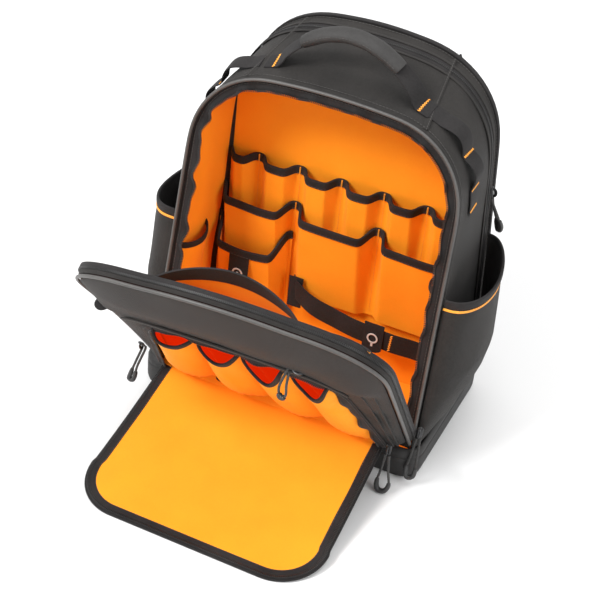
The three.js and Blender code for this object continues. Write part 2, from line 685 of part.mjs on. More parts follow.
// Each slider's centre, the way it points, the way its flat side faces, and its cord's chosen
// points counted from that centre.
const lidFront = [0, -0.79, -0.61];
const pulls = [
  {
    name: 'flap_left',
    at: lidPoint(-161, 62, 26),
    to: [0, 0.61, -0.79],
    out: lidFront,
    cord: [
      [-7, -1.4, -27], [-13, -3.4, -47], [-15, -3.4, -57], [-9, -4.4, -55], [-5, -2.4, -35],
    ],
  },
  {
    name: 'flap_right',
    at: V(157, hinge.y - 10, hinge.z + 5.2),
    to: [0, -0.1, -1],
    out: [0, -1, 0],
    cord: [
      [-4, -5, -28], [-6, -9, -46], [-3, -12, -53.5], [5, -12, -53.5], [9, -9, -46], [5, -5, -28],
    ],
  },
  {
    name: 'main_right',
    at: V(frontArch.low + 5, frontY(openingFoot) - 6.3, openingFoot - 6),
    to: [0, -0.3, -1],
    out: [0.2, -1, 0],
    cord: [
      [-3.5, -10, -28], [-5.5, -15, -48], [-2.5, -17, -57], [4.5, -16, -54], [4.5, -11, -34],
    ],
  },
  {
    name: 'pocket_top',
    at: lidPoint(86, 236, 27),
    to: [-1, 0, 0],
    out: lidFront,
    cord: [
      [-14, -6, -12], [-17, -9, -27], [-13, -11, -36], [-8, -11, -32], [-9, -8, -18],
    ],
  },
  {
    name: 'rear_right',
    at: V(skinHalf(bag.back - rearZip.back, rearZip.pull) + 5.65, bag.back - rearZip.back, rearZip.pull),
    to: [0.1, 0.2, -1],
    out: [1, 0, 0],
    cord: [
      [5.5, 5, -24], [10.5, 13, -42], [13.5, 19, -57], [10.5, 21, -62], [6.5, 18, -46], [2.5, 9, -24],
    ],
  },
];

// The directions across a slider and back along it.
function sliderFrame({ to, out }) {
  const back = V(...to).normalize().negate();
  return { across: V(...out).cross(back).normalize(), back };
}

function zipSlider({ at, to, out }) {
  const geometry = new THREE.BoxGeometry(slider.width, slider.thick, slider.length);
  const { across, back } = sliderFrame({ to, out });
  geometry.applyMatrix4(new THREE.Matrix4().makeBasis(across, back.clone().cross(across), back));
  geometry.translate(at.x, at.y, at.z);
  return geometry;
}

// A loop of cord whose two ends leave the slider's end side by side.
function pullCord({ at, to, out, cord }) {
  const { across, back } = sliderFrame({ to, out });
  const leave = (side, reach) => at.clone().addScaledVector(across, side * slider.strands)
    .addScaledVector(back, -slider.length / 2 - reach);
  const ends = (side) => [leave(side, gap), leave(side, gap + cordRadius)];
  const path = [...ends(1), ...cord.map((p) => V(...p).add(at)), ...ends(-1).reverse()];
  const curve = new THREE.CatmullRomCurve3(path, false, 'centripetal');
  const section = new THREE.Shape(polygon(8, cordRadius).map(([a, b]) => new THREE.Vector2(a, b)));
  return new THREE.ExtrudeGeometry(section, { extrudePath: curve, steps: cordSteps, bevelEnabled: false });
}

// Colours and the finished group

const colours = {
  outer: { color: 0x35322f, roughness: 0.85 },
  orange: { color: 0xf79b22, roughness: 0.8 },
  trim: { color: 0x1d1b1b, roughness: 0.8 },
  grey: { color: 0x6b6763, roughness: 0.7 },
  rubber: { color: 0x2a2928, roughness: 0.6 },
  mesh: { color: 0x2c2b2b, roughness: 0.95 },
  metal: { color: 0x2b2b2d, roughness: 0.35, metalness: 0.8 },
  cord: { color: 0x3a3938, roughness: 0.7 },
};

const group = new THREE.Group();
function add(name, geometry, finish) {
  const mesh = new THREE.Mesh(geometry, new THREE.MeshStandardMaterial(colours[finish]));
  mesh.name = name;
  group.add(mesh);
}

add('base_boot', baseBoot(), 'rubber');
add('front_sill', frontSill(), 'outer');
add('body_shell', bodyShell(), 'outer');
add('shell_lining', shellLining(), 'orange');
add('divider_wall', crossWall(bag.divider, cloth, inner, boot.floor + gap), 'orange');
add('back_panel', crossWall(bag.back - board, board - gap, inner, bag.bottom), 'outer');
add('back_pad', roundedPad(pad, bag.back + gap), 'mesh');
add('opening_piping', openingPiping(), 'grey');
add('opening_zip_tape', openingTape(), 'trim');
add('rear_zip_track', rearZipTrack(), 'trim');
add('handle_grip', handleGrip(), 'outer');
add('pencil_pockets', between(pencilGrid.back, pencilGrid.front), 'orange');
add('pencil_pockets_binding', bayBinding(pencilGrid), 'trim');
add('middle_pockets', between(middleGrid.back, middleGrid.front), 'orange');
add('middle_pockets_binding', bayBinding(middleGrid), 'trim');
add('lower_pocket', between(lowerGrid.back, lowerGrid.front), 'orange');
add('lower_pocket_binding', bayBinding(lowerGrid), 'trim');
add('wall_pocket_left', wallPocket(-1, wallPockets.left), 'orange');
add('wall_pocket_right', wallPocket(1, wallPockets.right), 'orange');
add('tool_strap', toolStrap(), 'trim');
add('strap_tab', hangingTab(strapTab, bag.divider - middle.depth - toolBand.clear, toolBand.high), 'trim');
add('tape_tab', hangingTab(tapeTab, bag.divider - lower.depth, tapeTab.top), 'trim');
const sheetInset = inner + 2.4;
add('lid_lining', lidSheet(sheetInset, 2, lining, gap), 'orange');
add('lid_panel', lidSheet(sheetInset, 2 + lining + gap, cloth, gap), 'outer');
add('lid_gusset', lidGusset(), 'outer');
add('lid_piping', lidPiping(), 'grey');
add('pocket_back_wall', lidSheet(cloth + piping + 3 * gap, wallFront - lining, lining, 3), 'orange');
add('lid_front_face', lidFrontFace(), 'outer');
const innerBand = innerPocket.top - innerPocket.band;
for (const word of ['left', 'right']) {
  const cut = { ...innerPocket[word], low: innerPocket.low, high: innerBand };
  add(`lid_inner_pocket_${word}`, lidInnerPocket(cut), 'orange');
}
const bandCut = { ...innerPocket.left, low: innerBand + gap, high: innerPocket.top };
add('lid_inner_pocket_band', lidInnerPocket(bandCut), 'trim');
add('pocket_walls', pocketWalls(), 'outer');
for (let i = 0; i < pouch.count; i++) add(`tool_pouch_${i + 1}`, toolPouch(i), 'orange');
add('flap_shell', flapSheet(0, 0, flap.thick), 'outer');
add('flap_lining', flapSheet(flap.trim, flap.thick + gap, lining, 0.012), 'orange');
add('flap_binding', flapBinding(), 'trim');
add('strap_yoke', roundedPad(yoke, bag.back + gap), 'outer');
for (const [word, side] of [['left', -1], ['right', 1]]) {
  add(`handle_webbing_${word}`, handleWebbing(side), 'trim');
  add(`gear_webbing_${word}`, gearWebbing(side), 'trim');
  add(`side_pocket_${word}`, sidePocketSolid(side, sidePocket[word]), 'outer');
  add(`shoulder_strap_${word}`, shoulderStrap(side), 'mesh');
  add(`strap_webbing_${word}`, strapWebbing(side), 'trim');
}
for (const pull of pulls) {
  add(`zip_slider_${pull.name}`, zipSlider(pull), 'metal');
  add(`pull_cord_${pull.name}`, pullCord(pull), 'cord');
}

export default group;
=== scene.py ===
"""Looks of the tool backpack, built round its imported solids.

Sizes are millimetres until a mesh is made: +X is right seen from the front, -Y the front, +Z up.
"""

import logging
from dataclasses import dataclass, field
from enum import Enum

import bpy
import numpy as np
from mathutils import Matrix


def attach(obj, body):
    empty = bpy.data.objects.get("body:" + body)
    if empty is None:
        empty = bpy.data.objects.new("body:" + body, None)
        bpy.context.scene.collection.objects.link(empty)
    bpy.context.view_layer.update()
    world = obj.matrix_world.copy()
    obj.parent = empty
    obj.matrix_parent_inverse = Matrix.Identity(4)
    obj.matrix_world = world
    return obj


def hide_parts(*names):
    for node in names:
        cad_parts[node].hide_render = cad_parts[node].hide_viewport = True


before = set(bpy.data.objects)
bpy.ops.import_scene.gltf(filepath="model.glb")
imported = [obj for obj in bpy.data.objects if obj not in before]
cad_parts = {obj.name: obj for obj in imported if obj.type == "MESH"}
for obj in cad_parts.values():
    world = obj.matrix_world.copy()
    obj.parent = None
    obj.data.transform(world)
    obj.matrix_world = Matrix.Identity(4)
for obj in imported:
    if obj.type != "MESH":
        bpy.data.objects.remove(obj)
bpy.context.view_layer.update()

MM = 0.001
# Colour of the painted glow: a red emission on orange cloth that stands in for light coming through it.
PAINTED_GLOW_COLOUR = (1.0, 0.09, 0.004, 1)
AIR_FRAMES = 20
PAD_GRAIN = 0.0055
Array = np.ndarray
log = logging.getLogger("backpack")
logging.basicConfig(level=logging.INFO, format="%(name)s: %(message)s")


# Finishes


class Texture(Enum):
    """The kinds of surface relief that a finish can have."""

    WEAVE = "weave"
    RIB = "rib"
    MESH = "mesh"
    BRAID = "braid"
    PEBBLE = "pebble"
    SMOOTH = "smooth"


class Nodes:
    """A short way to write a node tree: each call adds a node and returns its outputs."""

    def __init__(self, tree: bpy.types.NodeTree) -> None:
        """Keeps the tree that nodes are added to."""
        self.tree = tree

    def add(self, kind: str, inputs: dict | None = None, **settings: object) -> bpy.types.Node:
        """Adds a node, sets its properties, and links or sets its inputs.

        Args:
            kind: the node's type name.
            inputs: socket name or number to a value or an output socket.
            settings: attributes of the node.

        Returns:
            The node.
        """
        node = self.tree.nodes.new(kind)
        for key, value in settings.items():
            setattr(node, key, value)
        for key, value in (inputs or {}).items():
            if isinstance(value, bpy.types.NodeSocket):
                self.tree.links.new(value, node.inputs[key])
            else:
                node.inputs[key].default_value = value
        return node

    def math(self, operation: str, *values: object) -> bpy.types.NodeSocket:
        """Adds a math node over the values and returns its output."""
        return self.add("ShaderNodeMath", dict(enumerate(values)), operation=operation).outputs[0]

    def range(self, value: object, low: float, high: float, to_low: float,
              to_high: float) -> bpy.types.NodeSocket:
        """Maps a value from one range to another, clamped, and returns the output."""
        table = {0: value, 1: low, 2: high, 3: to_low, 4: to_high}
        return self.add("ShaderNodeMapRange", table).outputs[0]


def new_group(name: str, inputs: dict[str, str],
              outputs: dict[str, str]) -> tuple[bpy.types.NodeTree, Nodes, dict, bpy.types.Node]:
    """Makes an empty shader group.

    Args:
        name: the group's name.
        inputs: name to kind, Float or Vector.
        outputs: name to kind.

    Returns:
        The tree, its writer, the input sockets by name, and the output node.
    """
    tree = bpy.data.node_groups.new(name, "ShaderNodeTree")
    for word, kind in inputs.items():
        tree.interface.new_socket(name=word, in_out="INPUT", socket_type=f"NodeSocket{kind}")
    for word, kind in outputs.items():
        tree.interface.new_socket(name=word, in_out="OUTPUT", socket_type=f"NodeSocket{kind}")
    source = tree.nodes.new("NodeGroupInput")
    sink = tree.nodes.new("NodeGroupOutput")
    return tree, Nodes(tree), {word: source.outputs[word] for word in inputs}, sink


def weave_group() -> bpy.types.NodeTree:
    """Plain weave: where the product of two sines is positive the warp's ridge shows, else the weft's."""
    tree, n, given, sink = new_group("plain_weave", {"Vector": "Vector", "Pitch": "Float"},
                                     {"Height": "Float", "Thread": "Float"})
    parts = n.add("ShaderNodeSeparateXYZ", {0: given["Vector"]})
    wobble = n.add("ShaderNodeTexNoise",
                   {"Vector": given["Vector"], "Scale": 900.0, "Detail": 1.0}).outputs[0]
    turns = n.math("DIVIDE", np.pi, given["Pitch"])
    phase = n.math("MULTIPLY", wobble, 0.9)
    sines = [n.math("SINE",
                    n.math("ADD", n.math("MULTIPLY", parts.outputs[i], turns), phase)) for i in (0, 1)]
    over = n.math("GREATER_THAN", n.math("MULTIPLY", sines[0], sines[1]), 0.0)
    ridges = [n.math("ABSOLUTE", s) for s in sines]
    height = n.add("ShaderNodeMix", {0: over, 2: ridges[0], 3: ridges[1]}).outputs[0]
    n.tree.links.new(height, sink.inputs["Height"])
    n.tree.links.new(over, sink.inputs["Thread"])
    return tree


def rib_group() -> bpy.types.NodeTree:
    """Woven tape: the sine of the distance along the tape, rounded, with a fine grain across it."""
    tree, n, given, sink = new_group("tape_ribs", {"Vector": "Vector", "Pitch": "Float"},
                                     {"Height": "Float", "Thread": "Float"})
    parts = n.add("ShaderNodeSeparateXYZ", {0: given["Vector"]})
    turns = n.math("DIVIDE", np.pi, given["Pitch"])
    ridge = n.math("ABSOLUTE", n.math("SINE", n.math("MULTIPLY", parts.outputs[0], turns)))
    grain = n.add("ShaderNodeTexNoise",
                  {"Vector": given["Vector"], "Scale": 1500.0, "Detail": 1.0}).outputs[0]
    height = n.math("ADD", n.math("POWER", ridge, 0.6), n.math("MULTIPLY", grain, 0.3))
    n.tree.links.new(height, sink.inputs["Height"])
    n.tree.links.new(grain, sink.inputs["Thread"])
    return tree


def braid_group() -> bpy.types.NodeTree:
    """Braided cord: the product of sines of the two diagonals of the cord's own map."""
    tree, n, given, sink = new_group("cord_braid", {"Vector": "Vector", "Pitch": "Float"},
                                     {"Height": "Float", "Thread": "Float"})
    parts = n.add("ShaderNodeSeparateXYZ", {0: given["Vector"]})
    turns = n.math("DIVIDE", np.pi, given["Pitch"])
    diagonals = [n.math(word, parts.outputs[0], parts.outputs[1]) for word in ("ADD", "SUBTRACT")]
    sines = [n.math("SINE", n.math("MULTIPLY", d, turns)) for d in diagonals]
    height = n.math("MULTIPLY", sines[0], sines[1])
    n.tree.links.new(n.math("ABSOLUTE", height), sink.inputs["Height"])
    n.tree.links.new(n.math("GREATER_THAN", height, 0.0), sink.inputs["Thread"])
    return tree


def cell_group(name: str, open_cells: bool) -> bpy.types.NodeTree:
    """Cells: the distance to the nearest cell centre, as holes of an air mesh or grains of moulded rubber."""
    tree, n, given, sink = new_group(name, {"Vector": "Vector", "Pitch": "Float"},
                                     {"Height": "Float", "Thread": "Float"})
    scale = n.math("DIVIDE", 1.0, given["Pitch"])
    randomness = 0.25 if open_cells else 1.0
    cells = n.add("ShaderNodeTexVoronoi",
                  {"Vector": given["Vector"], "Scale": scale, "Randomness": randomness}).outputs[0]
    low, high = (0.15, 0.45) if open_cells else (0.0, 0.7)
    height = n.range(cells, low, high, 0.0, 1.0)
    n.tree.links.new(height, sink.inputs["Height"])
    n.tree.links.new(height, sink.inputs["Thread"])
    return tree


def wear_group() -> bpy.types.NodeTree:
    """Uneven colour: broad clouds and fine specks of noise, each about one half where there is no change."""
    tree, n, given, sink = new_group("uneven_colour", {"Vector": "Vector"},
                                     {"Clouds": "Float", "Specks": "Float"})
    for word, scale, detail in (("Clouds", 22.0, 3.0), ("Specks", 420.0, 2.0)):
        noise = n.add("ShaderNodeTexNoise",
                      {"Vector": given["Vector"], "Scale": scale, "Detail": detail}).outputs[0]
        n.tree.links.new(n.range(noise, 0.3, 0.7, 0.0, 1.0), sink.inputs[word])
    return tree


class Groups:
    """The shared shader groups, each made once."""

    def __init__(self) -> None:
        """Builds every group."""
        self.relief = {
            Texture.WEAVE: weave_group(),
            Texture.RIB: rib_group(),
            Texture.BRAID: braid_group(),
            Texture.MESH: cell_group("air_mesh", True),
            Texture.PEBBLE: cell_group("rubber_grain", False),
        }
        self.wear = wear_group()


@dataclass(frozen=True)
class Finish:
    """A surface finish and the record's slot it belongs to.

    Colours are linear. pitch is the thread or cell size in millimetres, relief the depth of the bump, and
    painted_glow the strength of a painted red glow, an emission that stands in for light coming through thin
    cloth.
    """

    name: str
    slot: str
    colour: tuple[float, float, float]
    deep: tuple[float, float, float]
    texture: Texture
    pitch: float = 1.0
    relief: float = 0.1
    roughness: float = 0.8
    sheen: float = 0.0
    coat: float = 0.0
    metallic: float = 0.0
    specular: float = 0.4
    painted_glow: float = 0.0

    def material(self, groups: Groups) -> bpy.types.Material:
        """Builds the material, or returns it if it is there already.

        Args:
            groups: the shared shader groups.

        Returns:
            The material.
        """
        known = bpy.data.materials.get(self.name)
        if known:
            return known
        material = bpy.data.materials.new(self.name)
        material.use_nodes = True
        tree = material.node_tree
        tree.nodes.clear()
        n = Nodes(tree)
        place = n.add("ShaderNodeTexCoord")
        wear = n.add("ShaderNodeGroup", {}, node_tree=groups.wear)
        tree.links.new(place.outputs["Object"], wear.inputs["Vector"])
        tone_and_hollow_shade = n.math("MULTIPLY", wear.outputs["Clouds"], 0.65)
        tone_and_hollow_shade = n.math("ADD", tone_and_hollow_shade, n.math("MULTIPLY", wear.outputs["Specks"], 0.35))
        normal = None
        if self.texture is not Texture.SMOOTH:
            relief = n.add("ShaderNodeGroup", {}, node_tree=groups.relief[self.texture])
            mapped = place.outputs["Object" if self.texture is Texture.PEBBLE else "UV"]
            tree.links.new(mapped, relief.inputs["Vector"])
            relief.inputs["Pitch"].default_value = self.pitch * MM
            # Painted shade and highlight: the colour darkens where the relief is low, in the hollows between
            # threads, cells and grains, and lightens on its ridges.
            tone_and_hollow_shade = n.math("MULTIPLY", tone_and_hollow_shade, n.range(relief.outputs["Height"], 0.0, 1.0, 0.72, 1.12))
            normal = n.add("ShaderNodeBump", {"Strength": 0.55, "Distance": self.relief * MM,
                                              "Height": relief.outputs["Height"]}).outputs[0]
        ramp = n.range(tone_and_hollow_shade, 0.1, 0.85, 0.0, 1.0)
        colour = n.add("ShaderNodeMix", {0: ramp, 6: (*self.deep, 1), 7: (*self.colour, 1)},
                       data_type="RGBA").outputs[2]
        rough = n.range(wear.outputs["Clouds"], 0.0, 1.0, max(self.roughness - 0.07, 0.05),
                        min(self.roughness + 0.07, 1))
        surface = n.add("ShaderNodeBsdfPrincipled", {
            "Base Color": colour, "Roughness": rough, "Metallic": self.metallic, "Coat Weight": self.coat,
            "Sheen Weight": self.sheen, "Specular IOR Level": self.specular,
            # Emission: a painted glow, so the cloth gives off red light though it is no lamp.
            "Emission Color": PAINTED_GLOW_COLOUR, "Emission Strength": self.painted_glow,
        })
        if normal is not None:
            tree.links.new(normal, surface.inputs["Normal"])
        end = n.add("ShaderNodeOutputMaterial")
        tree.links.new(surface.outputs[0], end.inputs[0])
        return material


OUTER = Finish("coated_polyester", "outer_fabric", (0.029, 0.0262, 0.0243), (0.014, 0.0127, 0.0118),
               Texture.WEAVE,
               pitch=0.9, relief=0.22, roughness=0.74, sheen=0.05, specular=0.22)
GRIP = Finish("grip_cloth", "outer_fabric", (0.044, 0.042, 0.041), (0.026, 0.025, 0.024), Texture.WEAVE,
              pitch=0.7, relief=0.14, roughness=0.58, specular=0.3)
ORANGE = Finish("orange_nylon", "orange_lining", (0.95, 0.345, 0.013), (0.92, 0.315, 0.010),
                Texture.WEAVE,
                pitch=0.6, relief=0.08, roughness=0.72, sheen=0.03, specular=0.25, painted_glow=0.018)
# The orange lining painted as it looks in shade inside the pockets: darker and redder, with a strong painted
# red glow.
ORANGE_PAINTED_SHADE = Finish("orange_nylon_painted_shade", "orange_lining", (0.93, 0.085, 0.018), (0.78, 0.05, 0.012),
               Texture.WEAVE,
               pitch=0.6, relief=0.1, roughness=0.78, specular=0.3, painted_glow=0.17)
TAPE = Finish("black_grosgrain", "black_binding", (0.021, 0.019, 0.019), (0.009, 0.008, 0.008),
              Texture.RIB,
              pitch=1.1, relief=0.18, roughness=0.78, sheen=0.04, specular=0.25)
ZIPPER = Finish("zip_coil_nylon", "black_binding", (0.030, 0.029, 0.029), (0.014, 0.013, 0.013),
                Texture.SMOOTH,
                roughness=0.42, specular=0.5)
PIPING = Finish("grey_vinyl_piping", "grey_piping", (0.085, 0.081, 0.077), (0.055, 0.052, 0.05),
                Texture.PEBBLE,
                pitch=0.8, relief=0.05, roughness=0.45, specular=0.45)
RUBBER = Finish("moulded_rubber", "rubber_base", (0.028, 0.027, 0.026), (0.015, 0.014, 0.014),
                Texture.PEBBLE,
                pitch=1.2, relief=0.14, roughness=0.62, specular=0.4)
AIRMESH = Finish("padded_air_mesh", "back_mesh", (0.040, 0.039, 0.039), (0.012, 0.012, 0.012),
                 Texture.MESH,
                 pitch=2.6, relief=0.5, roughness=0.9, sheen=0.2, specular=0.25)
METAL = Finish("black_lacquered_metal", "slider_metal", (0.045, 0.045, 0.047), (0.022, 0.022, 0.023),
               Texture.SMOOTH,
               roughness=0.32, metallic=0.6, coat=0.3, specular=0.5)
PLASTIC = Finish("black_moulded_plastic", "slider_metal", (0.035, 0.034, 0.034), (0.02, 0.02, 0.02),
                 Texture.SMOOTH,
                 roughness=0.4, specular=0.5)
CORD = Finish("braided_cord", "pull_cord", (0.062, 0.060, 0.058), (0.022, 0.021, 0.020), Texture.BRAID,
              pitch=1.3, relief=0.25, roughness=0.7, sheen=0.1, specular=0.35)
DARK_THREAD = Finish("dark_thread", "black_binding", (0.075, 0.07, 0.066), (0.04, 0.038, 0.036),
                     Texture.SMOOTH,
                     roughness=0.6, specular=0.4)
ORANGE_THREAD = Finish("orange_thread", "orange_lining", (0.95, 0.42, 0.05), (0.80, 0.26, 0.02),
                       Texture.SMOOTH,
                       roughness=0.55, specular=0.4)
MARK = Finish("pale_print", "black_binding", (0.62, 0.62, 0.60), (0.5, 0.5, 0.49), Texture.SMOOTH,
              roughness=0.6)


# Shapes as arrays


def mix(a: float | Array, b: float | Array, t: float | Array) -> Array:
    """Goes from a to b as t goes from 0 to 1."""
    return a + (b - a) * np.asarray(t)


def xyz(x: float | Array, y: float | Array, z: float | Array) -> Array:
    """Stacks three coordinates, each a number or an array, into points."""
    return np.stack(np.broadcast_arrays(x, y, z), -1).astype(float)


def unit(v: Array) -> Array:
    """Scales vectors to length one."""
    return v / np.maximum(np.linalg.norm(v, axis=-1, keepdims=True), 1e-9)


def soften(points: Array, passes: int) -> Array:
    """Rounds a polyline's kinks: each inner point moves to a quarter, half, quarter mean of three."""
    out = points.astype(float).copy()
    for _ in range(passes):
        out[1:-1] = 0.25 * out[:-2] + 0.5 * out[1:-1] + 0.25 * out[2:]
    return out


def lengths(path: Array) -> Array:
    """The distance along a path at each of its points."""
    steps = np.linalg.norm(np.diff(path, axis=0), axis=-1)
    return np.concatenate([[0.0], np.cumsum(steps)])


def resample(path: Array, count: int | None = None, pitch: float = 4.0) -> Array:
    """Points at equal distances along a path.

    Args:
        path: the points, in order.
        count: how many to return, or None for one each pitch.
        pitch: the distance wanted when there is no count.

    Returns:
        The evenly spaced points.
    """
    along = lengths(path)
    count = count or max(2, int(round(along[-1] / pitch)) + 1)
    at = np.linspace(0, along[-1], count)
    return np.stack([np.interp(at, along, path[:, i]) for i in range(path.shape[1])], 1)


def spline(points: Array | list, count: int = 60) -> Array:
    """A smooth curve through points: a cubic Hermite whose tangents follow the neighbours' chords."""
    p = np.asarray(points, float)
    knots = np.concatenate([[0], np.cumsum(np.sqrt(np.linalg.norm(np.diff(p, axis=0), axis=1)))])
    slope = np.gradient(p, knots, axis=0)
    at = np.linspace(0, knots[-1], count)
    i = np.clip(np.searchsorted(knots, at, side="right") - 1, 0, len(p) - 2)
    h = (knots[i + 1] - knots[i])[:, None]
    t = (at[:, None] - knots[i][:, None]) / h
    return ((2 * t**3 - 3 * t**2 + 1) * p[i] + (t**3 - 2 * t**2 + t) * h * slope[i]
            + (3 * t**2 - 2 * t**3) * p[i + 1] + (t**3 - t**2) * h * slope[i + 1])


def crumple(p: Array, amount: float, size: float, seed: int,
            stretch: tuple[float, float, float] = (1, 1, 1)) -> Array:
    """Soft irregular folds: the mean of nine plane waves with seeded directions, wavelengths and phases.

    Args:
        p: the points.
        amount: about the largest rise, in millimetres.
        size: the shortest wavelength.
        seed: the seed of the draw.
        stretch: how many times longer the folds run along X, Y and Z.

    Returns:
        One rise for each point.
    """
    rng = np.random.default_rng(seed)
    way = unit(rng.normal(size=(9, 3)))
    waves = way * 2 * np.pi / (size * rng.uniform(1, 3, (9, 1)))
    phase = rng.uniform(0, 2 * np.pi, 9)
    turns = (p / np.array(stretch)) @ waves.T + phase
    return amount * np.sin(turns).sum(-1) / 3.6


def grid_normals(grid: Array, ring_u: bool, ring_v: bool) -> Array:
    """Unit normals of a grid of points, from the cross product of its two central differences."""
    def slope(axis: int, ring: bool) -> Array:
        if ring:
            return np.roll(grid, -1, axis) - np.roll(grid, 1, axis)
        return np.gradient(grid, axis=axis)
    return unit(np.cross(slope(0, ring_u), slope(1, ring_v)))


def grid_faces(rows: int, columns: int, ring_u: bool, ring_v: bool) -> tuple[Array, Array, Array]:
    """The quads of a grid, with the row and column number of each of their corners, not wrapped."""
    i, j = np.meshgrid(np.arange(rows - (not ring_u)), np.arange(columns - (not ring_v)), indexing="ij")
    i, j = i.ravel(), j.ravel()
    row = np.stack([i, i + 1, i + 1, i], 1)
    column = np.stack([j, j, j + 1, j + 1], 1)
    return (row % rows) * columns + column % columns, row, column


def mesh_object(name: str, points: Array, faces: list, maps: Array, inner_faces: int = 0,
                sharp: float = 40.0) -> bpy.types.Object:
    """Makes an object from points in millimetres, faces, and one map position for each face corner.

    Args:
        name: the object's name.
        points: the vertices.
        faces: arrays of faces, each with one number of corners.
        maps: map positions in metres, a row for each corner of each face in order.
        inner_faces: how many of the first faces take the second material.
        sharp: edges that turn by more than this many degrees stay sharp.

    Returns:
        The object.
    """
    mesh = bpy.data.meshes.new(name)
    mesh.from_pydata((points * MM).tolist(), [], [face for block in faces for face in block.tolist()])
    layer = mesh.uv_layers.new(name="UVMap")
    layer.data.foreach_set("uv", np.ascontiguousarray(maps, dtype=np.float32).ravel())
    count = len(mesh.polygons)
    mesh.polygons.foreach_set("use_smooth", np.ones(count, bool))
    if inner_faces:
        slots = np.zeros(count, np.int32)
        slots[:inner_faces] = 1
        mesh.polygons.foreach_set("material_index", slots)
    mesh.set_sharp_from_angle(angle=np.radians(sharp))
    mesh.update()
    piece = bpy.data.objects.new(name, mesh)
    bpy.context.scene.collection.objects.link(piece)
    return piece


def sheet(name: str, grid: Array, wall: float, facing: Array | None = None, around: Array | None = None,
          ring_u: bool = False, ring_v: bool = False) -> bpy.types.Object:
    """Cloth with thickness: the grid is its outer face, and the inner face lies wall behind it.

    Args:
        name: the piece's name.
        grid: rows by columns by 3, in millimetres.
        wall: the thickness.
        facing: a direction that the outer face looks towards on the whole.
        around: a point that the outer face looks away from.
        ring_u: the last row meets the first.
        ring_v: the last column meets the first.

    Returns:
        The object. Its inner faces come first, and can take a second material.
    """
    normal = grid_normals(grid, ring_u, ring_v)
    away = np.asarray(facing, float) if facing is not None else grid - np.asarray(around, float)
    turned = (normal * away).sum() < 0
    if turned:
        normal = -normal
    rows, columns = grid.shape[:2]
    points = np.concatenate([grid.reshape(-1, 3), (grid - wall * normal).reshape(-1, 3)])
    quads, row, column = grid_faces(rows, columns, ring_u, ring_v)
    count = rows * columns
    closed_rows = np.concatenate([grid, grid[:1]]) if ring_u else grid
    closed_columns = np.concatenate([grid, grid[:, :1]], 1) if ring_v else grid
    u = np.mean([lengths(closed_rows[:, j]) for j in range(0, columns, max(1, columns // 6))], 0) * MM
    v = np.mean([lengths(closed_columns[i]) for i in range(0, rows, max(1, rows // 6))], 0) * MM
    front, front_map = quads, np.stack([u[row], v[column]], -1)
    if turned:
        front, front_map = front[:, ::-1], front_map[:, ::-1]
    back, back_map = front[:, ::-1] + count, front_map[:, ::-1]
    rims, rim_maps = [], []
    edges = []
    if not ring_v:
        i = np.arange(rows - (not ring_u))
        for j, step in ((0, 1), (columns - 1, -1)):
            a, b = (i % rows) * columns + j, ((i + 1) % rows) * columns + j
            edges.append((a, b, u[i], u[i + 1], step))
    if not ring_u:
        j = np.arange(columns - (not ring_v))
        for i, step in ((0, -1), (rows - 1, 1)):
            a, b = i * columns + j % columns, i * columns + (j + 1) % columns
            edges.append((a, b, v[j], v[j + 1], step))
    for a, b, from_a, to_b, step in edges:
        rim = np.stack([a, a + count, b + count, b], 1)
        across = np.stack([np.zeros_like(from_a), np.full_like(from_a, wall * MM),
                           np.full_like(from_a, wall * MM),
                           np.zeros_like(from_a)], 1)
        along = np.stack([from_a, from_a, to_b, to_b], 1)
        rim_map = np.stack([along, across], -1)
        if (step > 0) == turned:
            rim, rim_map = rim[:, ::-1], rim_map[:, ::-1]
        rims.append(rim)
        rim_maps.append(rim_map)
    maps = np.concatenate([m.reshape(-1, 2) for m in (back_map, front_map, *rim_maps)])
    return mesh_object(name, points, [back, front, *rims], maps, inner_faces=len(back))


def round_section(across: float, lift: float | None = None, sides: int = 12) -> Array:
    """An ellipse as [across, lift] pairs."""
    a = np.linspace(0, 2 * np.pi, sides, endpoint=False)
    return np.stack([across * np.cos(a), (across if lift is None else lift) * np.sin(a)], 1)


def flat_section(width: float, thick: float, sides: int = 16, square: float = 4.0) -> Array:
    """A flat band's section: a superellipse, |x|^n + |y|^n = 1, with n the squareness."""
    a = np.linspace(0, 2 * np.pi, sides, endpoint=False) + np.pi / sides
    c, s = np.cos(a), np.sin(a)
    power = 2 / square
    return np.stack([np.sign(c) * np.abs(c)**power * width / 2,
                     np.sign(s) * np.abs(s)**power * thick / 2], 1)


def path_frame(path: Array, up: Array, ring: bool = False) -> tuple[Array, Array, Array]:
    """Along, across and lift directions at each point of a path, lift being as near to up as it can."""
    along = unit(np.roll(path, -1, 0) - np.roll(path, 1, 0) if ring else np.gradient(path, axis=0))
    across = unit(np.cross(along, np.broadcast_to(up, path.shape)))
    return along, across, np.cross(across, along)


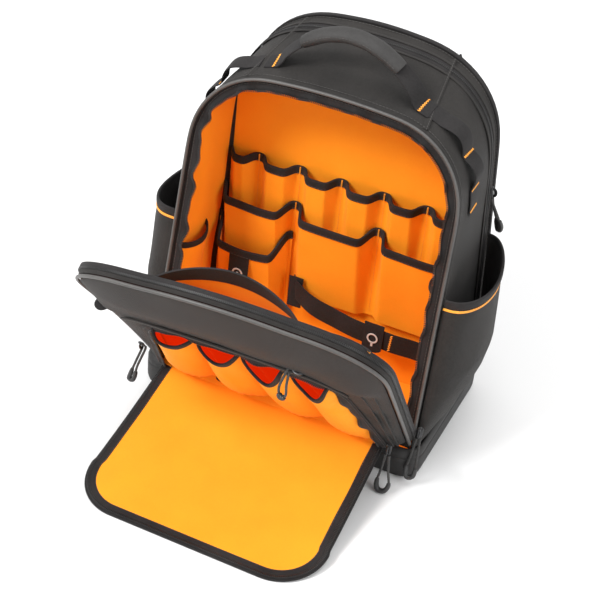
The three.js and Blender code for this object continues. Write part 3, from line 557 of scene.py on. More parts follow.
def tube(name: str, path: Array, section: Array, up: Array, scale: Array | float = 1.0,
         ring: bool = False,
         sharp: float = 50.0) -> bpy.types.Object:
    """A solid band, cord or rod: the section carried along the path, its ends closed by fans.

    Args:
        name: the piece's name.
        path: the centre line.
        section: [across, lift] pairs.
        up: a direction, or one for each point.
        scale: a factor for the section at each point.
        ring: the path closes on itself.
        sharp: the angle above which edges stay sharp.

    Returns:
        The object.
    """
    _, across, lift = path_frame(path, up, ring)
    size = np.broadcast_to(scale, len(path))[:, None, None]
    broad, tall = section[None, :, :1], section[None, :, 1:]
    grid = path[:, None] + size * (broad * across[:, None] + tall * lift[:, None])
    rows, columns = grid.shape[:2]
    quads, row, column = grid_faces(rows, columns, ring, True)
    u = lengths(np.concatenate([path, path[:1]]) if ring else path) * MM
    v = lengths(np.concatenate([section, section[:1]])) * MM
    maps = np.stack([u[row], v[column]], -1)
    faces = [quads[:, ::-1]]
    corners = [maps[:, ::-1].reshape(-1, 2)]
    points = grid.reshape(-1, 3)
    if not ring:
        points = np.concatenate([points, path[:1], path[-1:]])
        j = np.arange(columns)
        first = np.stack([j, (j + 1) % columns, np.full(columns, rows * columns)], 1)
        last = np.stack([(j + 1) % columns, j, np.full(columns, 0)], 1) + (rows - 1) * columns
        last[:, 2] = rows * columns + 1
        faces += [first, last]
        flat = np.concatenate([section * MM, [[0, 0]]])
        near, far = j, (j + 1) % columns
        middle = np.full(columns, columns)
        corners += [flat[np.stack(fan, 1)].reshape(-1, 2)
                    for fan in ((near, far, middle), (far, near, middle))]
    return mesh_object(name, points, faces, np.concatenate(corners), sharp=sharp)


def stamp(name: str, places: Array, along: Array, up: Array, points: Array,
          faces: Array) -> bpy.types.Object:
    """Many copies of one small form in one mesh, each turned to its own along and up.

    Args:
        name: the piece's name.
        places: where the copies go.
        along: the direction of each copy's first axis.
        up: the direction of each copy's third axis.
        points: the form's vertices.
        faces: its quads.

    Returns:
        The object.
    """
    up = np.broadcast_to(up, places.shape)
    along = unit(along)
    across = unit(np.cross(up, along))
    lift = np.cross(along, across)
    turned = (points[None, :, :1] * along[:, None] + points[None, :, 1:2] * across[:, None]
              + points[None, :, 2:] * lift[:, None])
    verts = (places[:, None] + turned).reshape(-1, 3)
    quads = (faces[None] + (np.arange(len(places)) * len(points))[:, None, None]).reshape(-1, 4)
    maps = np.tile((points[faces][:, :, :2] * MM).reshape(-1, 2), (len(places), 1))
    return mesh_object(name, verts, [quads], maps, sharp=60)


def spindle(length: float, radius: float, flat: float = 0.8) -> tuple[Array, Array]:
    """A stitch: a six sided rod along the first axis whose ends close to small hexagons split in quads."""
    reach = np.array([-0.5, -0.36, 0.36, 0.5]) * length
    size = np.array([0.35, 1.0, 1.0, 0.35]) * radius
    a = np.linspace(0, 2 * np.pi, 6, endpoint=False)
    ring = np.stack([np.zeros(6), np.cos(a), flat * np.sin(a)], 1)
    points = (ring[None] * size[:, None, None] + xyz(reach, 0, 0)[:, None]).reshape(-1, 3)
    quads, _, _ = grid_faces(4, 6, False, True)
    ends = np.array([[0, 1, 2, 3], [0, 3, 4, 5], [21, 20, 19, 18], [23, 22, 21, 18]])
    return points, np.concatenate([quads[:, ::-1], ends[:, ::-1]])


def block(size: tuple[float, float, float], taper: float = 0.75) -> tuple[Array, Array]:
    """A zip tooth: a block whose upper half narrows by the taper."""
    x, y, z = (s / 2 for s in size)
    square = np.array([[-1, -1], [1, -1], [1, 1], [-1, 1]])
    levels = [(1.0, -z), (1.0, z * 0.3), (taper, z)]
    points = np.concatenate([np.column_stack([square * [x, y] * k, np.full(4, h)]) for k, h in levels])
    quads, _, _ = grid_faces(3, 4, False, True)
    return points, np.concatenate([quads, [[3, 2, 1, 0], [8, 9, 10, 11]]])


# The bag's measures


@dataclass(frozen=True)
class Arch:
    """An arch: straight sides that narrow, round shoulders and a crowned top."""

    low: float
    high: float
    height: float
    corner: float
    crown: float

    def inset(self, d: float) -> "Arch":
        """The arch that lies d inside this one."""
        return Arch(self.low - d, self.high - d, self.height - d, self.corner - d, self.crown)

    def half(self, foot: float, side: int = 22, turn: int = 16, top: int = 12) -> Array:
        """The right half as [x, z]: a line up the side, an elliptic quarter turn, then a parabola."""
        spring = self.height - self.corner
        z = np.linspace(foot, spring, side, endpoint=False)
        x = self.low + (self.high - self.low) * np.maximum(z, 0) / spring
        a = np.linspace(0, np.pi / 2, turn, endpoint=False)
        corner = np.stack([self.high - self.corner + self.corner * np.cos(a),
                           spring + (self.corner - self.crown) * np.sin(a)], 1)
        u = np.linspace(1, 0, top + 1)
        crest = np.stack([u * (self.high - self.corner), self.height - self.crown * u * u], 1)
        return np.concatenate([np.stack([x, z], 1), corner, crest])

    def outline(self, foot: float, side: int = 22, turn: int = 16, top: int = 12) -> Array:
        """The whole outline as [x, z], right foot to left foot, its kinks softened."""
        right = self.half(foot, side, turn, top)
        return soften(np.concatenate([right, right[-2::-1] * [-1, 1]]), 4)

    def fill(self, foot: float, rows: int, columns: int) -> Array:
        """The area inside as a grid of [x, z]: each row spans the outline, crowned in the middle."""
        right = resample(self.half(foot, 30, 24, 12)[:-12], rows)
        u = np.linspace(-1, 1, columns)
        x = right[:, :1] * u
        spring = self.height - self.corner
        rise = self.crown * np.maximum(0, right[:, 1:] - spring) / (self.corner - self.crown)
        z = right[:, 1:] + rise * np.maximum(0, 1 - (x / (self.high - self.corner))**2)
        return np.stack([x, z], -1)


@dataclass(frozen=True)
class Bag:
    """The shell's measures, and the surface that its pieces share."""

    front_foot: float = -114.5
    front_lean: float = 0.2
    back: float = 101.0
    divider: float = 45.0
    belly: float = 3.0
    belly_height: float = 190.0
    front: Arch = Arch(175.8, 168.1, 423, 96.5, 3)
    rear: Arch = Arch(182.5, 157.6, 455, 108.7, 3)

    def front_y(self, z: float | Array) -> Array:
        """The opening's plane: y at a height."""
        return self.front_foot + self.front_lean * np.asarray(z)

    def skin(self, d: float, t: Array, foot: float, y: Array | None = None) -> Array:
        """The skin inset by d: outline points by depths, straight lines from the front arch to the back one.

        Args:
            d: how far inside the outer face.
            t: shares of the way from front to back, for each column.
            foot: the lower end's height.
            y: places in y for the columns, in place of shares.

        Returns:
            The grid of points.
        """
        a, b = self.front.inset(d).outline(foot), self.rear.inset(d).outline(foot)
        y0 = self.front_y(a[:, 1])[:, None]
        share = ((y[None] - y0) / (self.back - y0) if y is not None
                 else np.broadcast_to(t, (len(a), len(t))))
        x = mix(a[:, :1], b[:, :1], share)
        z = mix(a[:, 1:], b[:, 1:], share)
        flat = np.maximum(0, 1 - np.abs(a[:, 1:] - self.belly_height) / self.belly_height)
        x = x + np.sign(x) * self.belly * np.sin(np.pi * np.clip(share, 0, 1)) * flat
        return xyz(x, mix(y0, self.back, share), z)

    def half_width(self, y: Array, z: Array) -> Array:
        """The skin's half width at a depth and a height on the straight side."""
        t = (y - self.front_y(z)) / (self.back - self.front_y(z))
        a = mix(self.front.low, self.front.high, z / (self.front.height - self.front.corner))
        b = mix(self.rear.low, self.rear.high, z / (self.rear.height - self.rear.corner))
        flat = np.maximum(0, 1 - np.abs(z - self.belly_height) / self.belly_height)
        return mix(a, b, t) + self.belly * np.sin(np.pi * np.clip(t, 0, 1)) * flat

    def line_round(self, y: float, d: float, foot: float) -> Array:
        """The skin's line round the bag at one depth."""
        return self.skin(d, np.zeros(1), foot, np.array([y]))[:, 0]

    def top(self, x: Array, y: float) -> Array:
        """The height of the skin's top at x, at one depth."""
        line = self.line_round(y, 0, 300.0)
        order = np.argsort(line[:, 0])
        return np.interp(x, line[order, 0], line[order, 2])


BAG = Bag()


@dataclass(frozen=True)
class Lid:
    """The lid's measures: a shallow box that leans forward from its hinge, its left side a little more."""

    foot: float = -102.7
    rise: float = 62.0
    tilt: float = 36.0
    tilt_top: float = 40.0
    twist: float = 2.8
    depth: float = 11.0
    arch: Arch = Arch(174, 181.7, 335, 94, 14)
    mouth: Arch = Arch(152, 128, 196, 54, 4)
    pocket_floor: float = 9.0
    depth_low: float = 28.0
    depth_high: float = 22.0

    def angle(self, x: Array, s: Array) -> Array:
        """The lean from upright at a place: it grows with the height, and more on the left."""
        start = np.radians(self.tilt)
        end = np.radians(self.tilt_top - self.twist * x / self.arch.low)
        return start + (end - start) / self.arch.height * s

    def point(self, x: float | Array, s: float | Array, n: float | Array) -> Array:
        """A point of the lid: x across, s up the rear face along an arc of a circle, n out of its front."""
        x, s, n = np.broadcast_arrays(*(np.asarray(v, float) for v in (x, s, n)))
        start = np.radians(self.tilt)
        a = self.angle(x, s)
        bend = (np.radians(self.tilt_top - self.twist * x / self.arch.low) - start) / self.arch.height
        return xyz(x, self.foot + (np.cos(a) - np.cos(start)) / bend - n * np.cos(a),
                   self.rise + (np.sin(a) - np.sin(start)) / bend - n * np.sin(a))

    def out(self, x: Array, s: Array) -> Array:
        """The direction out of the lid's front at a place."""
        a = self.angle(x, s)
        return xyz(0 * a, -np.cos(a), -np.sin(a))

    def pocket_depth(self, s: Array) -> Array:
        """How far the front pocket's mouth stands out at a height."""
        return mix(self.depth_low, self.depth_high, np.minimum(1, s / self.mouth.height))


LID = Lid()
FRONT = np.array([0.0, -1.0, 0.0])
BACK = -FRONT
UP = np.array([0.0, 0.0, 1.0])
RIGHT = np.array([1.0, 0.0, 0.0])
LID_OUT = np.array([0.0, -0.79, -0.61])


class Workshop:
    """Gives pieces their material and body, and hides the solids that each stands for."""

    def __init__(self) -> None:
        """Makes the shared shader groups."""
        self.groups = Groups()
        self.faces = 0

    def finish(self, piece: bpy.types.Object, look: Finish, *nodes: str,
               inside: Finish | None = None) -> bpy.types.Object:
        """Dresses one piece.

        Args:
            piece: the object.
            look: its finish.
            nodes: the solids that it stands for.
            inside: the finish of its inner face, or None for the same.

        Returns:
            The same object.
        """
        piece.data.materials.append(look.material(self.groups))
        piece.data.materials.append((inside or look).material(self.groups))
        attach(piece, "root")
        if nodes:
            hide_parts(*nodes)
        self.faces += len(piece.data.polygons)
        log.info("%s: %d faces", piece.name, len(piece.data.polygons))
        return piece

    def stitches(self, name: str, path: Array, up: Array, look: Finish = DARK_THREAD, pitch: float = 4.2,
                 length: float = 3.0, radius: float = 0.42) -> bpy.types.Object:
        """A row of stitches along a path, each a short rod, half sunk into the cloth."""
        even = resample(path, pitch=pitch)
        along = np.gradient(even, axis=0)
        if np.ndim(up) > 1:
            at = lengths(even) / max(lengths(even)[-1], 1e-6)
            base = lengths(path) / max(lengths(path)[-1], 1e-6)
            up = np.stack([np.interp(at, base, up[:, i]) for i in range(3)], 1)
        return self.finish(stamp(name, even, along, up, *spindle(length, radius)), look)

    def teeth(self, name: str, path: Array, up: Array, pitch: float = 2.1) -> bpy.types.Object:
        """A zip's coil along a path: one small tooth each pitch, set across the path."""
        even = resample(path, pitch=pitch)
        along = np.gradient(even, axis=0)
        if np.ndim(up) > 1:
            at = lengths(even) / lengths(even)[-1]
            base = lengths(path) / lengths(path)[-1]
            up = np.stack([np.interp(at, base, up[:, i]) for i in range(3)], 1)
        return self.finish(stamp(name, even, along, up, *block((1.2, 3.4, 1.5))), ZIPPER)

    def bartack(self, name: str, centre: Array, across: Array, up: Array, width: float,
                length: float = 3.8) -> bpy.types.Object:
        """A dense zigzag of orange thread across a band: slanting stitches side by side."""
        count = 13
        share = np.linspace(-0.5, 0.5, count)
        across = unit(np.asarray(across, float))
        along = unit(np.cross(np.asarray(up, float), across))
        places = np.asarray(centre, float) + share[:, None] * width * across
        slant = np.where(np.arange(count) % 2, 0.75, -0.75)[:, None]
        return self.finish(stamp(name, places, along + slant * across, up, *spindle(length, 0.75, 0.7)),
                           ORANGE_THREAD)


# Shell and base


@dataclass
class Base:
    """The moulded rubber tub."""

    shop: Workshop
    half: float = 186.0
    front: float = -119.0
    back: float = 107.0
    corner: float = 24.0
    height: float = 41.7

    def ring(self, inset: float, z: float, lean: float = 0.0) -> Array:
        """One level: a rounded rectangle inset by a distance, its front leaning back by lean."""
        a = np.linspace(0, np.pi / 2, 9)
        cx, cy0, cy1 = self.half - self.corner, self.front + self.corner, self.back - self.corner
        r = max(self.corner - inset, 4.0)
        pull = self.corner - inset - r
        turns = []
        for sx, cy, start in ((1, cy0, -90), (1, cy1, 0), (-1, cy1, 90), (-1, cy0, 180)):
            b = a + np.radians(start)
            turns.append(np.stack([sx * (cx + pull) + r * np.cos(b), cy + r * np.sin(b)], 1))
        loop = np.concatenate(turns)
        loop = resample(np.concatenate([loop, loop[:1]]), 181)[:-1]
        front = np.clip(-(loop[:, 1] - cy0 + 6) / self.corner, 0, 1)
        return xyz(loop[:, 0], loop[:, 1] + lean * front, z)

    def build(self) -> None:
        """Lofts the tub: rolled foot, straight wall, a groove, a rolled rim, then the inner wall."""
        levels = [(14, 0, 0), (5.5, 0, 0), (3.2, 0.8, 0), (1.4, 3.2, 0), (0.3, 8, 0), (0, 14, 0),
                  (0, 26, 0),
                  (0.1, 28.6, 0), (1.0, 29.4, 0), (1.0, 30.6, 0), (0.2, 31.4, 0), (0.3, 36, 0.6),
                  (1.2, 39.6, 3),
                  (2.6, 41.4, 5), (4.2, 41.7, 6), (5.6, 40.8, 7), (6.4, 37, 7), (6.6, 12, 1), (9, 4.2, 0),
                  (26, 3.2, 0)]
        grid = np.stack([self.ring(*level) for level in levels])
        rows, columns = grid.shape[:2]
        quads, row, column = grid_faces(rows, columns, False, True)
        u = lengths(grid[:, 0]) * MM
        v = lengths(np.concatenate([grid[5], grid[5][:1]])) * MM
        maps = np.stack([v[column], u[row]], -1)
        points = np.concatenate([grid.reshape(-1, 3), [[0, -6, 0]], [[0, -6, 3.2]]])
        j = np.arange(columns)
        under = np.stack([(j + 1) % columns, j, np.full(columns, rows * columns)], 1)
        over = np.stack([j + (rows - 1) * columns, (j + 1) % columns + (rows - 1) * columns,
                         np.full(columns, rows * columns + 1)], 1)
        flat = [points[f][:, :, :2] * MM for f in (under, over)]
        corners = np.concatenate([maps.reshape(-1, 2), *(f.reshape(-1, 2) for f in flat)])
        tub = mesh_object("rubber_base", points, [quads, under, over], corners, sharp=60)
        self.shop.finish(tub, RUBBER, "base_boot")
        rim = self.ring(3.4, 41.2, 5.5)
        self.shop.stitches("base_rim_stitches", np.concatenate([rim, rim[:1]]), UP, pitch=4.6)
        sill = [xyz(np.linspace(-171, 171, 60),
                    BAG.front_y(z) - 0.6 + 1.2 * np.sin(np.linspace(0, 9, 60)) * 0.5, z)
                for z in (40.0, 50.0, 64.0)]
        self.shop.finish(sheet("front_sill_cloth", np.stack(sill), 2.0, facing=FRONT), OUTER,
                         "front_sill")


@dataclass
class Shell:
    """The outer cloth, its seams and piping, the lining and the wall between the two compartments."""

    shop: Workshop
    opening_foot: float = 62.0

    def outer(self) -> None:
        """The skin from the front edge to the back edge, with soft folds that fade out at the seams."""
        t = np.linspace(0, 1, 46)
        grid = BAG.skin(0.2, t, 12.0)
        fade = (np.sin(np.pi * t) ** 0.5)[None] * np.clip((grid[..., 2] - 45) / 40, 0, 1)
        normal = grid_normals(grid, False, False)
        normal *= np.sign((normal * (grid - [0, 0, 200])).sum())
        dent = np.clip(crumple(grid, 1.7, 46, 3, (1, 1.4, 1.4)) - 0.1, -0.9, 1.3)
        grid = grid + normal * (dent * fade)[..., None]
        self.shop.finish(sheet("outer_shell", grid, 1.8, around=[0, 0, 200]), OUTER, "body_shell")
        for word, y, foot in (("front", None, 44.0), ("back", BAG.back - 7, 44.0)):
            line = (BAG.skin(-0.5, np.array([0.045]), foot)[:, 0] if y is None
                    else BAG.line_round(y, -0.5, foot))
            self.shop.stitches(f"{word}_edge_stitches", line, line - [0, line[:, 1].mean(), 200])
        for side in (-1, 1):
            t = np.linspace(0.03, 0.93, 24)
            grid = BAG.skin(-0.35, t, 300.0)
            k = np.argmin(np.abs(grid[:, 0, 0] - side * 112) + np.where(grid[:, 0, 2] < 380, 500, 0))
            path = grid[k]
            self.shop.finish(tube(f"top_seam_{'left' if side < 0 else 'right'}", path,
                                  flat_section(7, 1.1), UP), OUTER)
            self.shop.stitches(f"top_seam_stitches_{'left' if side < 0 else 'right'}",
                               path + [side * 1.8, 0, 0.75], UP)

    def edges(self) -> None:
        """The grey piping round the opening and the folded tape on the back edge."""
        arch = BAG.front.inset(1).outline(self.opening_foot)
        path = xyz(arch[:, 0], BAG.front_y(arch[:, 1]) - 2.9, arch[:, 1])
        self.shop.finish(tube("opening_piping_cord", path, round_section(2.0, sides=14), FRONT), PIPING,
                         "opening_piping")
        fold = xyz(arch[:, 0] * 0.997, BAG.front_y(arch[:, 1]) - 0.6, arch[:, 1] - 0.6)
        self.shop.finish(tube("opening_edge_tape", fold, flat_section(4.6, 2.2), FRONT), TAPE)
        rear = BAG.line_round(BAG.back - 1.5, -0.9, 42.0)
        self.shop.finish(tube("back_edge_binding", rear, flat_section(3.0, 7.0), FRONT), TAPE)

    def zips(self) -> None:
        """The main zip's tape inside the opening, with a wavy free edge and its coil, and the rear zip."""
        outer = BAG.front.inset(2.4).outline(self.opening_foot, 44, 32, 24)
        free = BAG.front.inset(15.0).outline(self.opening_foot, 44, 32, 24)
        along = 2 * np.pi * lengths(outer)
        wave = 1.7 * np.sin(along / 47) + 1.2 * np.sin(along / 29 + 1)
        v = np.linspace(0, 1, 7)
        x, z = mix(outer[:, :1], free[:, :1], v), mix(outer[:, 1:], free[:, 1:], v)
        shift = wave[:, None] * v**2
        inward = unit(free - outer)
        y = BAG.front_y(z) + 1.2 + shift * 1.1
        x, z = x + shift * 0.8 * inward[:, :1], z + shift * 0.8 * inward[:, 1:]
        grid = xyz(x, y, z)
        self.shop.finish(sheet("opening_zip_cloth", grid, 0.9, facing=FRONT), TAPE, "opening_zip_tape")
        self.shop.teeth("opening_zip_coil", grid[:, -1] - [0, 0.9, 0], FRONT)
        self.shop.stitches("opening_zip_stitches", grid[:, 2] - [0, 0.3, 0], FRONT, pitch=4.0)
        y = BAG.back - 28
        rows = BAG.skin(-0.9, np.zeros(5), 94.0, np.linspace(y - 6, y + 6, 5))
        out = rows[:, 2] - [0, y, 200]
        self.shop.finish(sheet("rear_zip_cloth", rows, 0.8, around=[0, y, 200]), TAPE, "rear_zip_track")
        middle = BAG.line_round(y, -1.3, 96.0)
        self.shop.teeth("rear_zip_coil", middle, out)
        for word, dy in (("front", -8.5), ("back", 8.5)):
            line = BAG.line_round(y + dy, -0.9, 94.0)
            lip = tube(f"rear_zip_lip_{word}", line, flat_section(1.6, 4.2), FRONT)
            self.shop.finish(lip, OUTER)

    def lining(self) -> None:
        """The orange lining of walls, top and floor: one ring of cloth with long soft folds."""
        foot = 3.6
        y = np.linspace(0, 1, 26)
        arch = BAG.front.inset(3.3).outline(foot)
        back = BAG.rear.inset(3.3).outline(foot)
        y0 = BAG.front_y(arch[:, 1])[:, None] + 3
        depth = mix(y0, BAG.divider - 0.3, y)
        t = (depth - BAG.front_y(arch[:, 1])[:, None]) / (BAG.back - BAG.front_y(arch[:, 1])[:, None])
        walls = xyz(mix(arch[:, :1], back[:, :1], t), depth, mix(arch[:, 1:], back[:, 1:], t))
        low = np.clip((40 - walls[..., 2]) / 30, 0, 1)
        walls[..., 0] -= np.sign(walls[..., 0]) * 5 * low
        share = np.linspace(0, 1, 40)[1:-1, None]
        floor = xyz(mix(walls[-1, :, 0][None], walls[0, :, 0][None], share), walls[-1, :, 1][None], foot)
        grid = np.concatenate([walls, floor])
        normal = grid_normals(grid, True, False)
        normal *= np.sign((normal * (grid - [0, -20, 200])).sum())
        fade = np.clip((grid[..., 1] - y0.min()) / 30, 0.25, 1)
        push = 1.6 + crumple(grid, 1.6, 50, 11, (1, 0.7, 2.6))
        grid = grid - normal * (np.maximum(push, 0.1) * fade)[..., None]
        grid[..., 2] = np.maximum(grid[..., 2], foot)
        self.shop.finish(sheet("compartment_lining", grid, 1.0, around=[0, -20, 200], ring_u=True),
                         ORANGE, "shell_lining")
        area = BAG.front.inset(4.0).fill(4.0, 60, 70)
        far = BAG.rear.inset(4.0).fill(4.0, 60, 70)
        t = (BAG.divider - BAG.front_y(area[..., 1])) / (BAG.back - BAG.front_y(area[..., 1]))
        x, z = mix(area[..., 0], far[..., 0], t), mix(area[..., 1], far[..., 1], t)
        face = xyz(x, BAG.divider, z)
        face[..., 1] -= np.maximum(0,
                                   1.2 + crumple(face, 1.3, 60, 12,
                                                 (1.6, 1, 1))) * np.clip((z - 262) / 12, 0, 1)
        self.shop.finish(sheet("divider_cloth", face, 1.6, facing=FRONT), ORANGE, "divider_wall")

    def build(self) -> None:
        """Builds the shell's pieces."""
        self.outer()
        self.edges()
        self.zips()
        self.lining()


# Handle and webbing


@dataclass
class Top:
    """The padded handle, its webbing, and the webbing with loops over the shoulders."""

    shop: Workshop
    x: float = 4.0
    half: float = 84.0
    rise: float = 52.0
    grip: float = 58.0

    def handle_point(self, u: Array) -> Array:
        """The handle's line: its height over the skin is a power of the cosine of the way along."""
        lift = self.rise * np.maximum(0, np.cos(u * np.pi / 2)) ** 0.72
        return xyz(self.x + u * self.half, 0, BAG.top(np.array([self.x]), 0.0)[0] + lift)

    def handle(self) -> None:
        """The grip as a padded sleeve with pinched ends, and webbing from it down to the skin."""
        reach = self.grip / self.half
        u = np.linspace(-reach, reach, 70)
        path = soften(self.handle_point(u), 20)
        ends = 1 - 0.12 * np.abs(u / reach) ** 10 + 0.015 * np.sin(u * 21)
        grip = tube("handle_sleeve", path, round_section(12.8, 8.2, 28), UP, ends)
        self.shop.finish(grip, GRIP, "handle_grip")
        for word, dy in (("front", -12.4), ("back", 12.4)):
            self.shop.stitches(f"handle_{word}_stitches", path[3:-3] + [0, dy, 1.2], UP, pitch=4.0)
        for word, side in (("left", -1), ("right", 1)):
            rising = self.handle_point(side * np.linspace(reach + 0.005, 0.985, 26))
            x = self.x + side * self.half * np.array([1.05, 1.12, 1.2])
            foot = xyz(x, 0, BAG.top(x, 0.0) + 1.6)
            path = soften(resample(np.concatenate([rising, foot]), 60), 6)
            slope = np.array([0, -0.215, 1.0])
            band = tube(f"handle_strap_{word}", path, flat_section(25, 2.4), slope)
            self.shop.finish(band, TAPE, f"handle_webbing_{word}")
            _, across, lift = path_frame(path, slope)
            for k, at in enumerate((47,)):
                self.shop.bartack(f"handle_bartack_{word}_{k + 1}", path[at] + lift[at] * 1.3, across[at],
                                  lift[at], 22)

    def loops(self) -> None:
        """Webbing over each shoulder: it follows the skin and stands off it in two loops."""
        table = np.array([[0, 0], [0.12, 0.05], [0.19, 0.5], [0.27, 0.95], [0.33, 1], [0.40, 0.6],
                          [0.46, 0],
                          [0.52, 0.5], [0.58, 0.9], [0.64, 1], [0.71, 0.6], [0.76, 0], [0.88, 0.05],
                          [1, 0]])
        line = BAG.line_round(2.0, -1.1, 312.0)
        right = line[line[:, 0] > 0]
        right = right[::-1][right[::-1][:, 0] > 60]
        start = np.argmin(np.abs(right[:, 0] - 108) + np.where(right[:, 2] < 400, 500, 0))
        path = resample(right[start:], 90)
        share = np.linspace(0, 1, 90)
        centre = np.array([71.6, 2, 326.5])
        out = unit((path - centre) * [1, 0, 1])
        puff = np.interp(share, table[:, 0], table[:, 1]) * 8.6
        path = soften(path + out * puff[:, None], 4)
        lift = xyz(out[:, 0], 0.047 * out[:, 0] - 0.215 * np.maximum(out[:, 2], 0), out[:, 2])
        for word, side in (("left", -1), ("right", 1)):
            flip = np.array([side, 1, 1])
            band = tube(f"gear_strap_{word}", path * flip, flat_section(25, 1.9), lift * flip)
            self.shop.finish(band, TAPE, f"gear_webbing_{word}")
            _, across, up = path_frame(path * flip, lift * flip)
            for k, at in enumerate((41, 68, 86)):
                self.shop.bartack(f"gear_bartack_{word}_{k + 1}", (path * flip)[at] + up[at] * 1.05,
                                  across[at], up[at], 21)

    def build(self) -> None:
        """Builds the handle and the loops."""
        self.handle()
        self.loops()


# Inner pockets


@dataclass
class PocketRow:
    """A row of stitched bays: cloth that stands out between its seams, bound along its mouth."""

    shop: Workshop
    name: str
    edges: list[float]
    top: float
    foot: float
    depth: float
    dip: float
    stand: float
    seed: int

    def grid(self, columns: int, rows: int) -> Array:
        """The bays as one grid.

        A bay lies flat for 4 mm at each seam, rises by 3t² - 2t³ over 13 mm and is nearly level between.
        Upwards its depth grows along a straight line, and soft folds are added.
        """
        edges = np.array(self.edges)
        spans = [np.linspace(0, 1, columns)[(1 if i else 0):] for i in range(len(edges) - 1)]
        share = np.concatenate(spans)
        x = np.concatenate([mix(a, b, s) for a, b, s in zip(edges[:-1], edges[1:], spans)])
        width = np.concatenate([np.full(len(s), b - a) for a, b, s in zip(edges[:-1], edges[1:], spans)])
        near = np.minimum(share, 1 - share) * width
        rise = np.clip((near - 4) / 13, 0, 1)
        bow = (3 * rise**2 - 2 * rise**3)[:, None]
        bow = bow * (1 - 0.12 * (2 * share[:, None] - 1) ** 2)
        v = np.linspace(0, 1, rows)[None]
        out = bow * self.depth * mix(0.35, 1, v)
        z = mix(self.foot, self.top, v) - self.dip * bow * v
        y = BAG.divider - self.stand - out - 0.9
        points = xyz(x[:, None], y, z)
        fold = crumple(points, 1.5, 30, self.seed, (1, 1, 2.2)) * bow * mix(0.4, 1, v)
        points[..., 1] -= np.clip(fold, -1.4, 1.2)
        return points

    def build(self) -> None:
        """Makes the cloth, its bound mouth, and the stitches under the binding and down the seams."""
        grid = self.grid(45, 30)
        self.shop.finish(sheet(f"{self.name}_cloth", grid, 1.0, facing=FRONT), ORANGE, self.name)
        rim = soften(resample(grid[:, -1], pitch=1.5), 8) + [0, 0.4, 1.8]
        band = tube(f"{self.name}_bound_edge", rim, flat_section(3.8, 11.0), UP)
        self.shop.finish(band, TAPE, f"{self.name}_binding")
        self.shop.stitches(f"{self.name}_edge_stitches", rim + [0, -1.95, -3.6], FRONT)
        columns = [44 * i for i in range(1, len(self.edges) - 1)]
        for k, column in enumerate(columns):
            seam = grid[column] - [0, 0.3, 0]
            self.shop.stitches(f"{self.name}_seam_{k + 1}", seam[2:-2], FRONT, ORANGE_THREAD)
            knot = grid[column, -1] + [0, -2.2, 1.8]
            self.shop.bartack(f"{self.name}_bartack_{k + 1}", knot, UP, FRONT, 9, 2.0)


